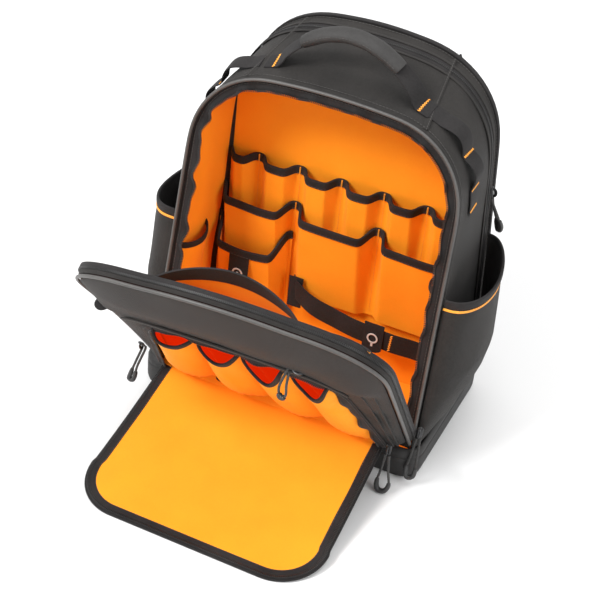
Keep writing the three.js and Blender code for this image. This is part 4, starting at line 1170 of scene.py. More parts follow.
@dataclass
class Inside:
    """Everything stitched to the wall between the compartments and to the side walls."""

    shop: Workshop
    first: float = -117.6
    pitch: float = 55.5

    def seam(self, i: int) -> float:
        """The x of seam number i."""
        return self.first + i * self.pitch

    def room(self, z: float) -> float:
        """Half the room between the lined walls at a height."""
        return float(BAG.half_width(BAG.divider - 10, z)) - 5.6

    def rows(self) -> list[PocketRow]:
        """The three rows, from the back one to the front one."""
        small = [-self.room(267), *(self.seam(i) for i in range(5)), self.seam(5) - 1.0]
        return [
            PocketRow(self.shop, "pencil_pockets", small, 267, 150, 16, 3, 1.6, 21),
            PocketRow(self.shop, "middle_pockets",
                      [-self.room(218), self.seam(1), self.seam(3), self.room(218)],
                      218, 96, 26, 9, 5, 22),
            PocketRow(self.shop, "lower_pocket", [-self.room(218), self.seam(1)], 176, 12, 34, 27, 8.6,
                      23),
        ]

    def wall_pocket(self, word: str, side: int, y1: float, top: float, foot: float, depth: float) -> None:
        """A small pocket on a side wall: it stands out by a power of a sine from front to back."""
        u, v = np.linspace(0, 1, 36)[:, None], np.linspace(0, 1, 24)[None]
        z = mix(foot, top, v)
        y = mix(BAG.front_y(z) + 14, y1, u)
        out = np.sin(np.pi * u) ** 0.6 * depth * mix(0.3, 1, v)
        x = side * (BAG.half_width(y, z) - 4.8 - out)
        grid = xyz(x, y, z - 4 * out / depth)
        grid[..., 0] += side * np.clip(crumple(grid, 0.9, 25, 31 + side), -0.8, 0.8) * np.sin(np.pi * u)
        cloth = sheet(f"wall_pocket_cloth_{word}", grid, 1.0, facing=[-side, 0, 0])
        self.shop.finish(cloth, ORANGE, f"wall_pocket_{word}")
        rim = resample(grid[:, -1], pitch=2.0) + [side * 0.4, 0, 0.5]
        self.shop.finish(tube(f"wall_pocket_bound_edge_{word}", rim, flat_section(2.8, 8.0), UP), TAPE)

    def corner(self) -> None:
        """A black sheet down the left corner, from side wall to dividing wall, narrow at its top: painted
        shadow where the walls meet.
        """
        z = np.linspace(64, 398, 60)[:, None]
        share = np.linspace(0, 1, 6)[None]
        wide = 11 * np.clip((404 - z) / 260, 0.06, 1)
        y = mix(BAG.divider - 1.5 * wide, BAG.divider - 2.6, share)
        wall = -(BAG.half_width(y, np.minimum(z, 345)) - 6.6) + np.maximum(0, z - 345) ** 1.62 * 0.062
        grid = xyz(wall + wide * share**1.4, y, z + 0 * share)
        self.shop.finish(sheet("left_corner_painted_shadow", grid, 1.0, facing=[1, -1, 0]), TAPE)

    def strap(self) -> None:
        """The black strap across the right bays, stitched down between tools, and the two hanging tabs."""
        table = [(-52, 21, 0), (-46, 14, 0.03), (-24, 0, 0.16), (20, -3, 0.54), (80, -3, 0.8),
                 (128, 2, 0.93), (170, 2, 1)]
        path = spline([(x, 9.0 + out, 112 - 26 * fall) for x, out, fall in table], 110)
        path[:, 1] -= 0.8 * np.sin(np.linspace(0, 5 * np.pi, 110)) ** 2
        facing = np.cross(UP, np.gradient(path, axis=0) * [1, 1, 0])
        self.shop.finish(tube("tool_strap_band", path, flat_section(28, 2.2), facing), TAPE, "tool_strap")
        anchor = np.linspace([-46, 23, 127], [-45, 19.5, 85], 14)
        self.shop.finish(tube("tool_strap_end", anchor, flat_section(19, 2.4), FRONT), TAPE)
        _, across, lift = path_frame(path, -facing)
        for k, at in enumerate((74,)):
            self.shop.bartack(f"tool_strap_bartack_{k + 1}", path[at] + lift[at] * 1.15, across[at],
                              lift[at], 22)
        for word, x, y, top, width, tall, node in (
                ("strap", 71, 4.6, 112, 26, 40, "strap_tab"),
                ("tape", -117, 1.4, 146, 27, 44, "tape_tab")):
            v = np.linspace(0, 1, 20)[:, None]
            u = np.linspace(-1, 1, 16)[None]
            round_off = np.minimum(1, (1 - v + 0.02) * 9) ** 0.4
            grid = xyz(x + u * width / 2 * round_off, y - 3.2 * v**1.5 - 0.6 * np.cos(u * 2) * v - 0.8,
                       top - tall * v)
            self.shop.finish(sheet(f"{word}_tab_cloth", grid, 1.5, facing=FRONT), TAPE, node)
            self.mark(word, np.array([x, y - 3.4, top - tall + 18]))

    def mark(self, word: str, centre: np.ndarray) -> None:
        """A plain printed mark: a ring with a dot, or a ring with a bar below it, raised like thick ink."""
        a = np.linspace(0, 2 * np.pi, 40, endpoint=False)
        ring = centre + np.stack([6.2 * np.cos(a), 0 * a, 6.2 * np.sin(a) + 2], 1)
        self.shop.finish(tube(f"{word}_mark_ring", ring, flat_section(2.2, 0.7), FRONT, ring=True), MARK)
        low = -3.5 if word == "strap" else 0.6
        bar = centre + np.linspace([0, 0, low], [0, 0, low - 6.5 if word == "strap" else low + 2.8], 8)
        self.shop.finish(tube(f"{word}_mark_bar", bar, flat_section(2.8, 0.7), FRONT), MARK)

    def build(self) -> None:
        """Builds the rows, the side pockets, the strap and the tabs."""
        for row in self.rows():
            row.build()
        self.wall_pocket("left", -1, 2, 182, 60, 16)
        self.wall_pocket("right", 1, 0, 226, 96, 24)
        self.corner()
        self.strap()


# The lid and its pockets


@dataclass
class LidBox:
    """The lid: lining, front, corded edge, inner pockets, and the front pocket with its pouches."""

    shop: Workshop
    wall_front: float = 12.0

    def panels(self) -> None:
        """The rear lining, the panel behind it, the side band and the corded edge."""
        area = LID.arch.inset(4.6).fill(3.0, 60, 60)
        x, s = area[..., 0], area[..., 1]
        soft = np.maximum(crumple(xyz(x, 0 * x, s), 0.9, 45, 41), -0.6)
        self.shop.finish(sheet("lid_rear_lining", LID.point(x, s, 1.9 - 0.5 * soft), 1.1,
                               facing=-LID_OUT), ORANGE, "lid_lining")
        self.shop.finish(sheet("lid_stiff_panel", LID.point(x, s, 5.5), 1.9, facing=LID_OUT), OUTER,
                         "lid_panel")
        rim = LID.arch.outline(0.0)
        n = np.linspace(0.2, LID.depth, 8)[None]
        bulge = 1.3 * np.sin(np.pi * n / LID.depth)
        out = unit(rim - [0, 150])
        x, s = rim[:, :1] + out[:, :1] * bulge - out[:, :1], rim[:, 1:] + out[:, 1:] * bulge - out[:, 1:]
        self.shop.finish(sheet("lid_side_band", LID.point(x, s, n), 1.8, around=LID.point(0, 150, 6)),
                         OUTER, "lid_gusset")
        edge = LID.arch.inset(1).outline(0.0)
        path = LID.point(edge[:, 0], edge[:, 1], LID.depth + 3.1)
        self.shop.finish(tube("lid_corded_edge", path, round_section(2.1, sides=14), LID_OUT), PIPING,
                         "lid_piping")
        near = LID.arch.inset(-0.4).outline(0.0)
        tape = LID.point(near[:, 0], near[:, 1], 0.9)
        self.shop.finish(tube("lid_rear_bound_edge", tape, flat_section(2.6, 5.5), LID_OUT), TAPE)
        coil = LID.arch.inset(-1.2).outline(0.0)
        self.shop.teeth("lid_zip_coil", LID.point(coil[:, 0], coil[:, 1], 4.6),
                        unit(LID.point(coil[:, 0], coil[:, 1], 4.6)
                        - LID.point(0, 150, 4.6)))
        area = LID.arch.inset(13.0).fill(9.6, 50, 40)
        # The pocket's back wall takes the orange lining in painted shade.
        self.shop.finish(sheet("pocket_rear_cloth",
                               LID.point(area[..., 0], area[..., 1], self.wall_front), 1.1,
                               facing=LID_OUT), ORANGE_PAINTED_SHADE, "pocket_back_wall")

    def face(self, shares: Array) -> tuple[Array, Array, Array]:
        """The front cloth's x, s and n at shares of the way from the corded edge in to the mouth.

        n goes from the edge to the mouth by a power of the share, and swells by a sine above the mouth.
        """
        outer = LID.arch.inset(4.8).outline(LID.pocket_floor)
        inner = LID.mouth.outline(LID.pocket_floor)
        v = np.asarray(shares, float)[None]
        x, s = mix(outer[:, :1], inner[:, :1], v), mix(outer[:, 1:], inner[:, 1:], v)
        high = np.maximum(0, outer[:, 1:] - LID.mouth.height) / (LID.arch.height - LID.mouth.height)
        n = mix(self.wall_front + 3, LID.pocket_depth(s), v**0.6) + 5 * high * np.sin(np.pi * v)
        return x, s, n

    def pillow(self, v: Array, s: Array) -> Array:
        """The upper pocket's fullness: it grows by 3t² - 2t³ and ends steeply at its zip."""
        rise = np.clip(v / 0.5, 0, 1)
        return (6.5 * (3 * rise**2 - 2 * rise**3) * np.clip((0.705 - v) / 0.025, 0, 1)
                * np.clip((s - 186) / 30, 0, 1))

    def front_face(self) -> None:
        """The dark front, swollen above the mouth, with the upper pocket's zip in a groove across it."""
        v = np.linspace(0, 1, 84)
        x, s, n = self.face(v)
        n = n + np.clip(crumple(xyz(x, 0 * x, s), 1.2, 40, 43, (1.8, 1, 1)), -1.2,
                        1.0) * np.sin(np.pi * v)
        n = (n + (self.pillow(v, s) - 2.0 * np.exp(-((v - 0.72) / 0.03) ** 2))
             * np.clip((s - 186) / 15, 0, 1))
        self.shop.finish(sheet("lid_front_cloth", LID.point(x, s, n), 1.8, facing=LID_OUT), OUTER,
                         "lid_front_face")
        upper = self.face(np.array([0.72]))[1][:, 0] > 196
        x, s, n = (part[upper] for part in self.face(np.linspace(0.67, 0.77, 5)))
        self.shop.finish(sheet("lid_pocket_zip_cloth", LID.point(x, s, n + 0.1), 0.8, facing=LID_OUT),
                         TAPE)
        middle = LID.point(x[:, 2], s[:, 2], n[:, 2] + 0.7)
        self.shop.teeth("lid_pocket_zip_coil", middle, LID_OUT)
        for word, share, lift, section in (("upper", 0.675, 7.4, flat_section(6.0, 2.6)),
                                           ("lower", 0.79, 1.0, flat_section(4.5, 1.6))):
            x, s, n = (part[upper][:, 0] for part in self.face(np.array([share])))
            lip = LID.point(x, s, n + lift)
            self.shop.finish(tube(f"lid_pocket_zip_lip_{word}", lip, section, LID_OUT), OUTER)
            self.shop.stitches(f"lid_pocket_zip_stitches_{word}", lip + LID_OUT * section[:, 1].max(),
                               LID_OUT)
        for k, share in enumerate((0.36, 0.62)):
            x, s, n = (part[:34][:, 0] for part in self.face(np.array([share])))
            welt = LID.point(x, s, n + 0.6)
            self.shop.finish(tube(f"lid_side_welt_{k + 1}", welt, flat_section(3.6, 2.0), LID_OUT), OUTER)
        self.mouth_band()

    def mouth_band(self) -> None:
        """The zip tape round the mouth: it overhangs the pouches and its free edge waves."""
        rings = [LID.mouth.inset(d).outline(LID.pocket_floor, 44, 32, 24)
                 for d in np.linspace(-4, 6.5, 8)]
        flat = np.stack(rings, 1)
        share = np.linspace(0, 1, 8)[None]
        along = 2 * np.pi * lengths(flat[:, -1])[:, None]
        wild = 0.7 + 0.6 * (flat[:, -1:, 0] > 0)
        wave = (1.1 * np.sin(along / 61) + 0.8 * np.sin(along / 37 + 2)) * share**2 * wild
        n = LID.pocket_depth(flat[..., 1]) + 0.9 + 2.6 * np.sin(share * np.pi * 0.6) + wave
        inward = unit(flat[:, -1] - flat[:, 0])[:, None]
        flat = flat + inward * (wave * 0.7)[..., None]
        grid = LID.point(flat[..., 0], flat[..., 1], n)
        self.shop.finish(sheet("mouth_zip_cloth", grid, 1.0, facing=LID_OUT), TAPE)
        self.shop.teeth("mouth_zip_coil", grid[:, -1] + LID_OUT * 0.4, LID_OUT)
        self.shop.stitches("mouth_zip_stitches", grid[:, 2] + LID_OUT * 0.3, LID_OUT)
        loop = [LID.point(-160 + dx, 205, 15 + dn) for dx,
                dn in ((0, 0), (-5, 3), (-8, 8), (-5, 10), (0, 7), (2, 2))]
        rising = LID.point(0, 1, 0) - LID.point(0, 0, 0)
        self.shop.finish(tube("lid_side_tab", spline(loop, 30), flat_section(11, 1.8), rising), TAPE)

    def walls(self) -> None:
        """The front pocket's side walls, top and floor: one ring from the back cloth to the mouth."""
        arch = LID.mouth.inset(0.5).outline(LID.pocket_floor + 0.3)
        floor = np.stack([np.linspace(arch[-1, 0], arch[0, 0], 34)[1:-1],
                          np.full(32, LID.pocket_floor + 0.3)], 1)
        loop = np.concatenate([arch, floor])
        share = np.linspace(0, 1, 9)[None]
        s = np.broadcast_to(loop[:, 1:], (len(loop), 9))
        n = mix(self.wall_front + 0.3, LID.pocket_depth(s) - 1.0, share)
        fold = 0.8 * np.sin(np.arange(len(loop)) * 0.7)[:, None] * np.sin(np.pi * share)
        centre = unit(loop - [0, 90])
        x = loop[:, :1] - centre[:, :1] * np.maximum(0, fold)
        s = s - centre[:, 1:] * np.maximum(0, fold)
        grid = LID.point(x, s, n)
        self.shop.finish(sheet("front_pocket_walls", grid, 1.2, around=LID.point(0, 90, 20), ring_u=True),
                         OUTER,
                         "pocket_walls")
        across, deep = np.linspace(-149, 149, 60)[:, None], np.linspace(12.8, 30.5, 8)[None]
        lift = 11.0 + 0.5 * np.sin(across / 9) * np.sin((deep - 12) / 6)
        self.shop.finish(sheet("front_pocket_floor", LID.point(across, lift, deep), 0.8, facing=UP),
                         ORANGE)

    def mouth_half(self, s: Array) -> Array:
        """Half the pocket's inner width at a height: the arch less its rounding and the walls."""
        m = LID.mouth
        spring = m.height - m.corner
        over = np.maximum(0, s - spring)
        bend = m.corner - np.sqrt(np.maximum(0, m.corner**2 - over**2))
        return mix(m.low, m.high, np.minimum(1, s / spring)) - bend - 3.6

    def pouches(self) -> None:
        """Four bell shaped pouches, scooped at the mouth by a skewed sine and pleated at the foot."""
        shapes = ((21, 1.3, 0.9), (25, 1.3, 1.0), (34, 1.9, 1.0), (31, 1.5, 0.62))
        for i, (scoop, sharp, skew) in enumerate(shapes):
            left, right = -1 + i / 2, -0.5 + i / 2
            u, v = np.linspace(0, 1, 56)[:, None], np.linspace(0, 1, 40)[None]
            arc = np.sin(np.pi * u)
            top = 180 - scoop * np.sin(np.pi * u**skew) ** sharp
            s = mix(9.8, top, v)
            x = mix(left, right, u) * self.mouth_half(s) + mix(0.8, -0.8, u)
            puff = mix(0.62, 1, np.minimum(1, v * 3.0) ** 0.6)
            out = 25 * arc**0.45 * puff * (1 - 0.08 * v)
            flat = xyz(x + 9 * i, 0 * x, s)
            out = out + np.clip(crumple(flat, 2.6, 24, 51 + i, (1, 1, 2.0)), -3.0, 0.4) * arc**0.5
            pleats = 1.7 * np.sin(2 * np.pi * (4.2 * u + 0.3 * i)) * np.exp(-v * 7.0) * arc
            grid = LID.point(x, s, self.wall_front + 1.8 + np.maximum(out - np.abs(pleats), 0))
            pouch = sheet(f"tool_pouch_cloth_{i + 1}", grid, 1.1, facing=LID_OUT)
            # The pouch's inner face takes the orange lining in painted shade.
            self.shop.finish(pouch, ORANGE, f"tool_pouch_{i + 1}", inside=ORANGE_PAINTED_SHADE)
            rim = resample(grid[:, -1], pitch=1.6)
            rising = LID.point(0, 1, 0) - LID.point(0, 0, 0)
            self.shop.finish(tube(f"tool_pouch_bound_edge_{i + 1}", rim, flat_section(3.4, 6.4), rising),
                             TAPE)
            for word, column in (("left", 0), ("right", 55)):
                seam = grid[column, 1:-1] + LID_OUT * 0.4
                self.shop.stitches(f"tool_pouch_{i + 1}_seam_{word}", seam, LID_OUT, ORANGE_THREAD)

    def inner_pocket(self, word: str, x0: float, x1: float, gape: float, node: str,
                     band: str | None) -> None:
        """A pocket on the rear face: its mouth stands off by a power of a sine, held by a hem."""
        u, s = np.linspace(0, 1, 50)[:, None], np.linspace(190, 299.5 if band else 300, 26)[None]
        x = mix(x0, x1, u)
        rise = (s - 190) / 132
        out = gape * np.sin(np.pi * u) ** 0.75 * rise**1.4
        drop = 12 * rise * (x / LID.arch.high) ** 2
        grid = LID.point(x, s - drop, -0.4 - out)
        self.shop.finish(sheet(f"lid_inner_pocket_cloth_{word}", grid, 1.4, facing=-LID_OUT), ORANGE,
                         node)
        if band:
            s = np.linspace(300.3, 321.5, 8)[None]
            rise = (s - 190) / 132
            out = gape * np.sin(np.pi * u) ** 0.75 * rise**1.4
            grid = LID.point(x, s - 12 * rise * (x / LID.arch.high) ** 2, -0.4 - out)
            self.shop.finish(sheet(f"lid_inner_pocket_hem_{word}", grid, 2.0, facing=-LID_OUT), TAPE,
                             band)
            self.shop.stitches(f"lid_inner_pocket_stitches_{word}", grid[:, 1] - LID_OUT * 0.3, -LID_OUT)
        else:
            rim = resample(grid[:, -1], pitch=2.0)
            lift = LID.point(0, 301, 0) - LID.point(0, 300, 0)
            self.shop.finish(tube(f"lid_inner_pocket_edge_{word}", rim, flat_section(2.4, 7), lift), TAPE)

    def build(self) -> None:
        """Builds the lid's pieces."""
        self.panels()
        self.front_face()
        self.walls()
        self.pouches()
        self.inner_pocket("left", -72, 92, 31, "lid_inner_pocket_left", "lid_inner_pocket_band")
        self.inner_pocket("right", 98, 164, 6, "lid_inner_pocket_right", None)


@dataclass
class Flap:
    """The front pocket's flap: it falls from its hinge and lies on the floor."""

    shop: Workshop
    half: float = 146.0
    end: float = 151.0
    corner: float = 57.0
    length: float = 226.0
    thick: float = 2.2
    trim: float = 13.0
    rest: float = 0.6
    hinge: Array = field(default_factory=lambda: LID.point(0, 9.0, 28.0))

    def point(self, x: Array, f: Array, lift: float | Array) -> Array:
        """A point of the flap, f being 0 at the hinge and 1 at the end: it drops by a power of 1 - f."""
        y = self.hinge[1] + 1.8 - f * (self.length - 12)
        z = self.rest + (self.hinge[2] - 2.8) * np.maximum(0, 1 - f) ** 1.35
        return xyz(x, y + 0 * x, z + lift + 0 * x)

    def outline(self, inset: float) -> Array:
        """Half the outline as [x, f]: a straight side that widens, and an elliptic corner."""
        reach = self.length - 12
        t = np.linspace(0, 1, 26, endpoint=False)
        f = t * (1 - self.corner / reach)
        side = np.stack([mix(self.half, self.end, f) - inset, f], 1)
        a = np.linspace(0, np.pi / 2, 22)
        turn = np.stack([self.end - self.corner + (self.corner - inset) * np.cos(a),
                         1 - self.corner / reach + (self.corner - inset) * np.sin(a) / reach], 1)
        return np.concatenate([side, turn])

    def wave(self, x: Array, f: Array) -> Array:
        """Soft creases of the cloth: strongest near the hinge, none at the bound edge."""
        flat = xyz(x, f * self.length, 0 * x)
        edge = np.clip((self.end - 8 - np.abs(x)) / 30, 0, 1) * np.clip((1 - f) / 0.12, 0, 1)
        return ((np.maximum(crumple(flat, 1.6, 55, 61, (1.3, 1, 1)), -1.0) + 1.0) * edge
                * mix(1.0, 0.45, f))

    def sheet(self, name: str, inset: float, top: float, wall: float, folds: float,
              start: float = 0.0) -> bpy.types.Object:
        """A layer of the flap as a grid across the outline."""
        right = resample(self.outline(inset) * [1, self.length], 70) / [1, self.length]
        u = np.linspace(-1, 1, 70)[None]
        f = np.maximum(right[:, 1:], start) + 0 * u
        x = right[:, :1] * u
        return sheet(name, self.point(x, f, top + folds * self.wave(x, f)), wall, facing=UP)

    def build(self) -> None:
        """Makes the outer cloth, the lining, the bound edge with its cord and zip coil, and the stitches
        along the edge.
        """
        shell = self.sheet("flap_outer_cloth", 0.4, self.thick, self.thick, 0.0)
        self.shop.finish(shell, OUTER, "flap_shell")
        lining = self.sheet("flap_lining_cloth", self.trim - 1.5, self.thick + 1.2, 1.0, 1.0, 0.004)
        self.shop.finish(lining, ORANGE, "flap_lining")
        right = self.outline(0)
        loop = np.concatenate([right, right[::-1][1:] * [-1, 1]])
        inner = self.outline(self.trim)
        inner = np.concatenate([inner, inner[::-1][1:] * [-1, 1]])
        v = np.linspace(0, 1, 8)[None]
        x, f = mix(loop[:, :1], inner[:, :1], v), mix(loop[:, 1:], inner[:, 1:], v)
        bump = 1.1 * np.sin(np.pi * np.clip(v * 0.9 + 0.1, 0, 1)) ** 0.5
        tape = sheet("flap_bound_edge", self.point(x, f, self.thick + 1.0 + bump), 1.2, facing=UP)
        self.shop.finish(tape, TAPE, "flap_binding")
        rim = self.point(loop[:, 0], loop[:, 1], 1.4)
        self.shop.finish(tube("flap_edge_cord", rim, round_section(1.6, 1.5, 10), UP), TAPE)
        for word, inset, lift in (("outer", 2.6, 4.2), ("inner", 11.2, 4.2)):
            part = self.outline(inset)
            line = np.concatenate([part, part[::-1][1:] * [-1, 1]])
            path = self.point(line[:, 0], line[:, 1], lift)
            if word == "outer":
                self.shop.teeth("flap_zip_coil", path, UP)
            else:
                self.shop.stitches("flap_edge_stitches", path, UP)


@dataclass
class SidePocket:
    """An open pocket on one side of the bag, bound at its mouth, with an orange stripe below."""

    shop: Workshop
    word: str
    side: int
    bulge: float

    def surface(self, u: Array, v: Array) -> Array:
        """The cloth: it stands off the skin by a power of a sine from front to back, and a table upwards."""
        z = mix(44, 229 - 7 * np.sin(np.pi * u), v)
        t = mix(0.01, 0.93, u)
        y = mix(BAG.front_y(z), BAG.back, t)
        stand = np.interp(v, [0, 0.09, 0.18, 0.34, 0.5, 0.8, 1], [0.1, 0.36, 0.55, 0.84, 1, 0.98, 1])
        away = self.bulge * stand * np.sin(np.pi * u**0.85) ** 0.4
        return xyz(self.side * (BAG.half_width(y, z) + 0.6 + away), y, z)

    def build(self) -> None:
        """Makes the cloth with its folds, the bound mouth and the stripe."""
        u = np.linspace(0, 1, 80)
        u = (0.5 - 0.5 * np.cos(np.pi * u))[:, None]
        v = np.linspace(0, 1, 50)[None]
        grid = self.surface(u, v)
        grid[..., 0] += self.side * 2.0
        fade = np.sin(np.pi * u) ** 0.4 * np.minimum(1, (1 - v) * 6) * np.minimum(1, v * 6)
        grid[..., 0] += self.side * np.clip(crumple(grid, 2.0, 34, 70 + self.side, (1, 1, 1.8)), -2.4,
                                            0.9) * fade
        cloth = sheet(f"side_pocket_cloth_{self.word}", grid, 1.8, facing=[self.side, 0, 0])
        self.shop.finish(cloth, OUTER, f"side_pocket_{self.word}")
        rim = resample(grid[:, -1], pitch=2.0)
        self.shop.finish(tube(f"side_pocket_bound_edge_{self.word}", rim, flat_section(3.6, 9), UP), TAPE)
        k = int(round(50 * (1 - 11 / 185)))
        normal = grid_normals(grid, False, False)[:, k]
        normal *= np.sign(normal[40, 0] * self.side)
        line = grid[:, k] + normal * 0.5
        stripe = tube(f"side_pocket_stripe_{self.word}", line, flat_section(3.0, 1.2), normal)
        self.shop.finish(stripe, ORANGE_THREAD)
        for name, at in (("edge", 0.967), ("foot", 0.03)):
            row = self.surface(np.linspace(0.03, 0.97, 90)[:, None], np.array([[at]]))[:, 0]
            self.shop.stitches(f"side_pocket_{name}_stitches_{self.word}", row + [self.side * 2.4, 0, 0],
                               RIGHT * self.side)


# The back


@dataclass
class Harness:
    """The padded back panel, yoke and shoulder straps with their webbing and buckles."""

    shop: Workshop

    def plate(self, half: float, low: float, high: float, corner: float, rows: int = 60) -> Array:
        """A rounded rectangle as a grid of [x, z]: its half width falls off on a circle at both ends."""
        z = mix(low, high, 0.5 - 0.5 * np.cos(np.pi * np.linspace(0.02, 0.98, rows)))
        near = np.maximum(0, corner - np.minimum(z - low, high - z))
        width = half - corner + np.sqrt(np.maximum(corner**2 - near**2, 1))
        return np.stack([width[:, None] * np.linspace(-1, 1, 50)[None], z[:, None] + np.zeros((1, 50))],
                        -1)

    def swell(self, piece: bpy.types.Object, cap: float) -> None:
        """Blows a closed pad up from inside as cloth, no point moving further than cap, and keeps the result.

        Args:
            piece: the pad.
            cap: the furthest move, in metres.
        """
        even = piece.modifiers.new("even", "REMESH")
        even.mode = "VOXEL"
        even.voxel_size = PAD_GRAIN
        graph = bpy.context.evaluated_depsgraph_get()
        skin = bpy.data.meshes.new_from_object(piece.evaluated_get(graph))
        piece.modifiers.clear()
        old = piece.data
        for material in old.materials:
            if skin.materials.find(material.name) < 0:
                skin.materials.append(material)
        piece.data = skin
        start = np.empty(len(skin.vertices) * 3, np.float32)
        skin.vertices.foreach_get("co", start)
        cloth = piece.modifiers.new("air", "CLOTH")
        cloth.settings.use_pressure = True
        cloth.settings.uniform_pressure_force = 4.0
        cloth.settings.effector_weights.gravity = 0.0
        cloth.settings.quality = 4
        cloth.point_cache.frame_start = 1
        cloth.point_cache.frame_end = AIR_FRAMES
        scene = bpy.context.scene
        for number in range(1, AIR_FRAMES + 1):
            scene.frame_set(number)
        graph = bpy.context.evaluated_depsgraph_get()
        blown = piece.evaluated_get(graph).to_mesh()
        end = np.empty_like(start)
        blown.vertices.foreach_get("co", end)
        piece.modifiers.clear()
        scene.frame_set(1)
        move = (end - start).reshape(-1, 3)
        far = np.linalg.norm(move, axis=1, keepdims=True)
        move *= np.minimum(1, cap / np.maximum(far, 1e-9))
        skin.vertices.foreach_set("co", (start.reshape(-1, 3) + move).ravel())
        skin.polygons.foreach_set("use_smooth", np.ones(len(skin.polygons), bool))
        skin.update()

    def back(self) -> None:
        """The back cloth, the padded panel in ridges with a channel between them, and the yoke."""
        area = BAG.front.inset(2.6).fill(36.0, 40, 40)
        far = BAG.rear.inset(2.6).fill(36.0, 40, 40)
        t = (BAG.back - 1 - BAG.front_y(area[..., 1])) / (BAG.back - BAG.front_y(area[..., 1]))
        cloth = xyz(mix(area[..., 0], far[..., 0], t), BAG.back - 0.6, mix(area[..., 1], far[..., 1], t))
        self.shop.finish(sheet("back_cloth", cloth, 3.0, facing=BACK), OUTER, "back_panel")
        plate = self.plate(115, 81, 369, 44)
        x, z = plate[..., 0], plate[..., 1]
        edge = (np.clip((115 - np.abs(x)) / 14, 0, 1) * np.clip((z - 81) / 14, 0, 1)
                * np.clip((369 - z) / 14, 0, 1))
        spine = 1 - 0.55 * np.exp(-(x / 9.0) ** 2)
        bars = 1 - 0.4 * np.exp(-((np.mod(z - 81, 72) - 36) / 5.0) ** 2)
        y = 101.6 + 11.5 * np.sqrt(edge) * spine * bars
        pad = sheet("back_padding", xyz(x, y, z), 1.0, facing=BACK)
        self.close_to_back(pad)
        self.shop.finish(pad, AIRMESH, "back_pad")
        self.swell(pad, 0.004)
        plate = self.plate(104, 373.5, 440, 14, 34)
        x, z = plate[..., 0], plate[..., 1]
        edge = (np.clip((104 - np.abs(x)) / 8, 0, 1) * np.clip((z - 373) / 8, 0, 1)
                * np.clip((440.5 - z) / 8, 0, 1))
        yoke = sheet("shoulder_yoke", xyz(x, 102.4 + 2.7 * np.sqrt(edge), z), 1.0, facing=BACK)
        self.shop.finish(yoke, OUTER, "strap_yoke")
        for k, low in enumerate((380.0, 434.0)):
            line = np.linspace([-96, 105.2, low], [96, 105.2, low], 60)
            self.shop.stitches(f"yoke_stitches_{k + 1}", line, BACK)

    def close_to_back(self, pad: bpy.types.Object) -> None:
        """Moves the inner layer of a padded sheet onto the bag's back, so that the pad is solid."""
        mesh = pad.data
        co = np.empty(len(mesh.vertices) * 3, np.float32)
        mesh.vertices.foreach_get("co", co)
        co = co.reshape(-1, 3)
        co[len(co) // 2:, 1] = 0.1014
        mesh.vertices.foreach_set("co", co.ravel())
        mesh.update()

    def straps(self) -> None:
        """Each shoulder strap as a padded band with a bound edge, its webbing, and a ladder buckle."""
        table = [(62, 4.6, 431), (68, 20, 398), (76, 44, 340), (84, 52, 270), (94, 46, 205),
                 (104, 32.5, 161)]
        base = BAG.back + 4.3
        for word, side in (("left", -1), ("right", 1)):
            path = spline([(side * x, base + out, z) for x, out, z in table], 90)
            share = np.linspace(0, 1, 90)
            taper = 1 - 0.16 * share**3
            section = flat_section(62, 9.5, 40, 3.2)
            strap = tube(f"shoulder_strap_pad_{word}", path + [0, 1.2, 0], section, BACK, taper)
            self.shop.finish(strap, AIRMESH, f"shoulder_strap_{word}")
            self.swell(strap, 0.0025)
            _, across, lift = path_frame(path, BACK)
            for name, dx in (("inner", -1), ("outer", 1)):
                rim = path + [0, 1.2, 0] + across * (dx * 31 * taper)[:, None]
                edge = tube(f"shoulder_strap_binding_{word}_{name}", rim, flat_section(3.2, 9), lift)
                self.shop.finish(edge, TAPE)
            band = path + lift * 6.6
            web = tube(f"shoulder_strap_webbing_{word}", band[4:], flat_section(25, 1.8), lift[4:])
            self.shop.finish(web, TAPE)
            low = [(104.2, 35.7, 159.3), (106.5, 32.5, 149), (117, 20, 120), (134, 4, 92), (142, 0.9, 77),
                   (150, 0.6, 58)]
            tail = spline([(side * x, BAG.back + 0.6 + out, z) for x, out, z in low], 60)
            self.shop.finish(tube(f"adjuster_webbing_{word}", tail, flat_section(25, 1.8), BACK), TAPE,
                             f"strap_webbing_{word}")
            self.buckle(word, tail[3:13])

    def buckle(self, word: str, path: Array) -> None:
        """A ladder buckle: two rails along the webbing and three bars across them."""
        _, across, lift = path_frame(path, BACK)
        rails = {"inner": -15.5, "outer": 15.5}
        for name, dx in rails.items():
            rail = tube(f"buckle_rail_{word}_{name}", path + across * dx + lift * 0.5, flat_section(4, 5),
                        lift)
            self.shop.finish(rail, PLASTIC)
        for k, at in enumerate((0, 4, 9)):
            bar = np.linspace(path[at] - across[at] * 16, path[at] + across[at] * 16, 12) + lift[at] * 2.2
            self.shop.finish(tube(f"buckle_bar_{word}_{k + 1}", bar, flat_section(3.6, 3), lift[at]),
                             PLASTIC)

    def build(self) -> None:
        """Builds the back."""
        self.back()
        self.straps()


# Zip sliders and pulls


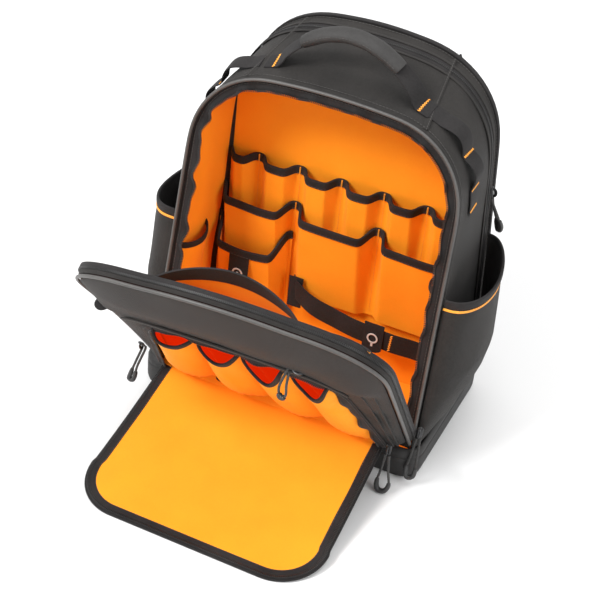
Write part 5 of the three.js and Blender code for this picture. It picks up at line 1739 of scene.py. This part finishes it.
@dataclass
class Pull:
    """A zip slider and the cord loop that hangs from it, with a moulded grip at its lower end."""

    shop: Workshop
    word: str
    at: Array
    to: tuple[float, float, float]
    out: tuple[float, float, float]
    loop: list[tuple[float, float, float]]
    grip: bool = True
    length: float = 15.0
    width: float = 8.5
    strand: float = 2.2
    radius: float = 1.5

    def build(self) -> None:
        """Makes the slider's body and bridge, the cord and its grip."""
        back = -unit(np.array(self.to))
        across = unit(np.cross(np.array(self.out), back))
        lift = np.cross(back, across)
        lift *= np.sign(lift @ np.array(self.out))
        share = np.linspace(-1, 1, 22)
        path = self.at + share[:, None] * back * self.length / 2
        outline = (1 - np.abs(share) ** 5) ** 0.5 * (0.86 + 0.14 * share)
        body = tube(f"slider_body_{self.word}", path, flat_section(self.width, 3.4, 18, 3), lift,
                    np.maximum(outline, 0.05))
        self.shop.finish(body, METAL, f"zip_slider_{self.word}")
        turn = np.linspace(0, np.pi, 20)
        bridge = self.at + lift * 1.2 + np.cos(turn)[:, None] * -back * 5.4
        bridge = bridge + np.sin(turn)[:, None] * lift * 3.4
        self.shop.finish(tube(f"slider_bridge_{self.word}", bridge, flat_section(3.6, 1.5, 12), across),
                         METAL)
        reaches = [back * (self.length / 2 + reach) for reach in (0.3, 1.8)]
        leave = [[self.at + across * side * self.strand - reach for reach in reaches] for side in (1, -1)]
        points = [*leave[0], *(self.at + np.array(p) for p in self.loop), *leave[1][::-1]]
        route = soften(resample(spline(points, 300), 120), 10)
        cord = tube(f"pull_cord_loop_{self.word}", route, round_section(self.radius, sides=10), across)
        self.shop.finish(cord, CORD, f"pull_cord_{self.word}")
        low = np.argmin(route[:, 2])
        reach = 20 if self.grip else 8
        part = route[max(low - reach, 2):low + reach]
        thick = tube(f"pull_grip_{self.word}", part, flat_section(5.6, 6.4, 14, 3), lift,
                     1 - 0.25 * np.abs(np.linspace(-1, 1, len(part))) ** 6)
        self.shop.finish(thick, PLASTIC)


def pulls(shop: Workshop) -> list[Pull]:
    """The five pulls, placed as on the solids."""
    hinge = LID.point(0, 9.0, 28.0)
    rear = BAG.back - 28
    out = tuple(LID_OUT)
    return [
        Pull(shop, "flap_left", LID.point(-161, 62, 26), (0, 0.61, -0.79), out,
             [(-7, -1.4, -27), (-13, -3.4, -47), (-15, -3.4, -57), (-9, -4.4, -55), (-5, -2.4, -35)]),
        Pull(shop, "flap_right", hinge + [157, -10, 5.2], (0, -0.1, -1), (0, -1, 0),
             [(-4, -5, -28), (-6, -9, -46), (-3, -12, -53.5), (5, -12, -53.5), (9, -9, -46),
              (5, -5, -28)]),
        Pull(shop, "main_right", np.array([180.8, BAG.front_y(74) - 6.3, 68.0]), (0, -0.3, -1),
             (0.2, -1, 0),
             [(-3.5, -10, -28), (-5.5, -15, -48), (-2.5, -17, -57), (4.5, -16, -54), (4.5, -11, -34)]),
        Pull(shop, "pocket_top", LID.point(86, 236, 27), (-1, 0, 0), out,
             [(-14, -6, -12), (-17, -9, -27), (-13, -11, -36), (-8, -11, -32), (-9, -8, -18)],
             grip=False),
        Pull(shop, "rear_right", np.array([float(BAG.half_width(rear, 300.0)) + 5.65, rear, 300.0]),
             (0.1, 0.2, -1), (1, 0, 0),
             [(5.5, 5, -24), (10.5, 13, -42), (13.5, 19, -57), (10.5, 21, -62), (6.5, 18, -46),
              (2.5, 9, -24)]),
    ]


# Studio


@dataclass(frozen=True)
class Studio:
    """The camera at the photograph's angle, a pale floor and soft light."""

    azimuth: float = 22.21
    elevation: float = 36.0
    roll: float = -5.69
    place: tuple[float, float, float] = (536.62, -1385.53, 1199.89)
    lens: float = 89.23

    def camera(self) -> None:
        """Sets the camera: its back, right and up from azimuth and elevation, then turned by the roll."""
        a, e, r = np.radians([self.azimuth, self.elevation, self.roll])
        back = np.array([np.sin(a) * np.cos(e), -np.cos(a) * np.cos(e), np.sin(e)])
        right = np.array([np.cos(a), np.sin(a), 0])
        up = np.cross(back, right)
        axes = np.stack([np.cos(r) * right - np.sin(r) * up, np.sin(r) * right + np.cos(r) * up, back], 1)
        data = bpy.data.cameras.new("camera")
        data.lens = self.lens
        data.sensor_width = 36.0
        data.clip_end = 100.0
        camera = bpy.data.objects.new("camera", data)
        matrix = Matrix([[*axes[i], self.place[i] * MM] for i in range(3)] + [[0, 0, 0, 1]])
        camera.matrix_world = matrix
        bpy.context.scene.collection.objects.link(camera)
        bpy.context.scene.camera = camera

    def light(self, name: str, place: tuple[float, float, float], size: float, power: float) -> None:
        """An area light that looks at the bag's middle."""
        data = bpy.data.lights.new(name, "AREA")
        data.size = size
        data.energy = power
        lamp = bpy.data.objects.new(name, data)
        back = unit(np.array(place) - [0, -0.05, 0.2])
        right = unit(np.cross([0, 0, 1.0], back))
        axes = np.stack([right, np.cross(back, right), back], 1)
        lamp.matrix_world = Matrix([[*axes[i], place[i]] for i in range(3)] + [[0, 0, 0, 1]])
        bpy.context.scene.collection.objects.link(lamp)

    def build(self) -> None:
        """Makes camera, floor, world and lights."""
        self.camera()
        span = 40.0
        floor = mesh_object("studio_floor",
                            np.array([[-1, -1, 0], [1, -1, 0], [1, 1, 0], [-1, 1, 0]]) * span / MM,
                            [np.array([[0, 1, 2, 3]])], np.array([[0, 0], [1, 0], [1, 1], [0, 1]]))
        material = bpy.data.materials.new("pale_floor")
        material.use_nodes = True
        surface = material.node_tree.nodes["Principled BSDF"]
        surface.inputs["Base Color"].default_value = (0.86, 0.86, 0.86, 1)
        surface.inputs["Roughness"].default_value = 0.9
        floor.data.materials.append(material)
        world = bpy.data.worlds.new("studio")
        world.use_nodes = True
        world.node_tree.nodes["Background"].inputs[0].default_value = (1, 1, 1, 1)
        world.node_tree.nodes["Background"].inputs[1].default_value = 0.72
        bpy.context.scene.world = world
        bpy.context.scene.view_settings.view_transform = "Standard"
        self.light("key_light", (-1.3, -1.7, 2.3), 1.0, 82)
        self.light("side_light", (2.2, -0.9, 1.5), 1.4, 24)
        self.light("top_light", (0.3, 0.2, 2.7), 1.6, 30)


def main() -> None:
    """Builds the backpack piece by piece."""
    shop = Workshop()
    Studio().build()
    for pull in pulls(shop):
        pull.build()
    Base(shop).build()
    Shell(shop).build()
    Top(shop).build()
    Inside(shop).build()
    LidBox(shop).build()
    Flap(shop).build()
    SidePocket(shop, "left", -1, 45.0).build()
    SidePocket(shop, "right", 1, 37.0).build()
    Harness(shop).build()
    log.info("total: %d faces", shop.faces)


if __name__ == "__main__":
    main()
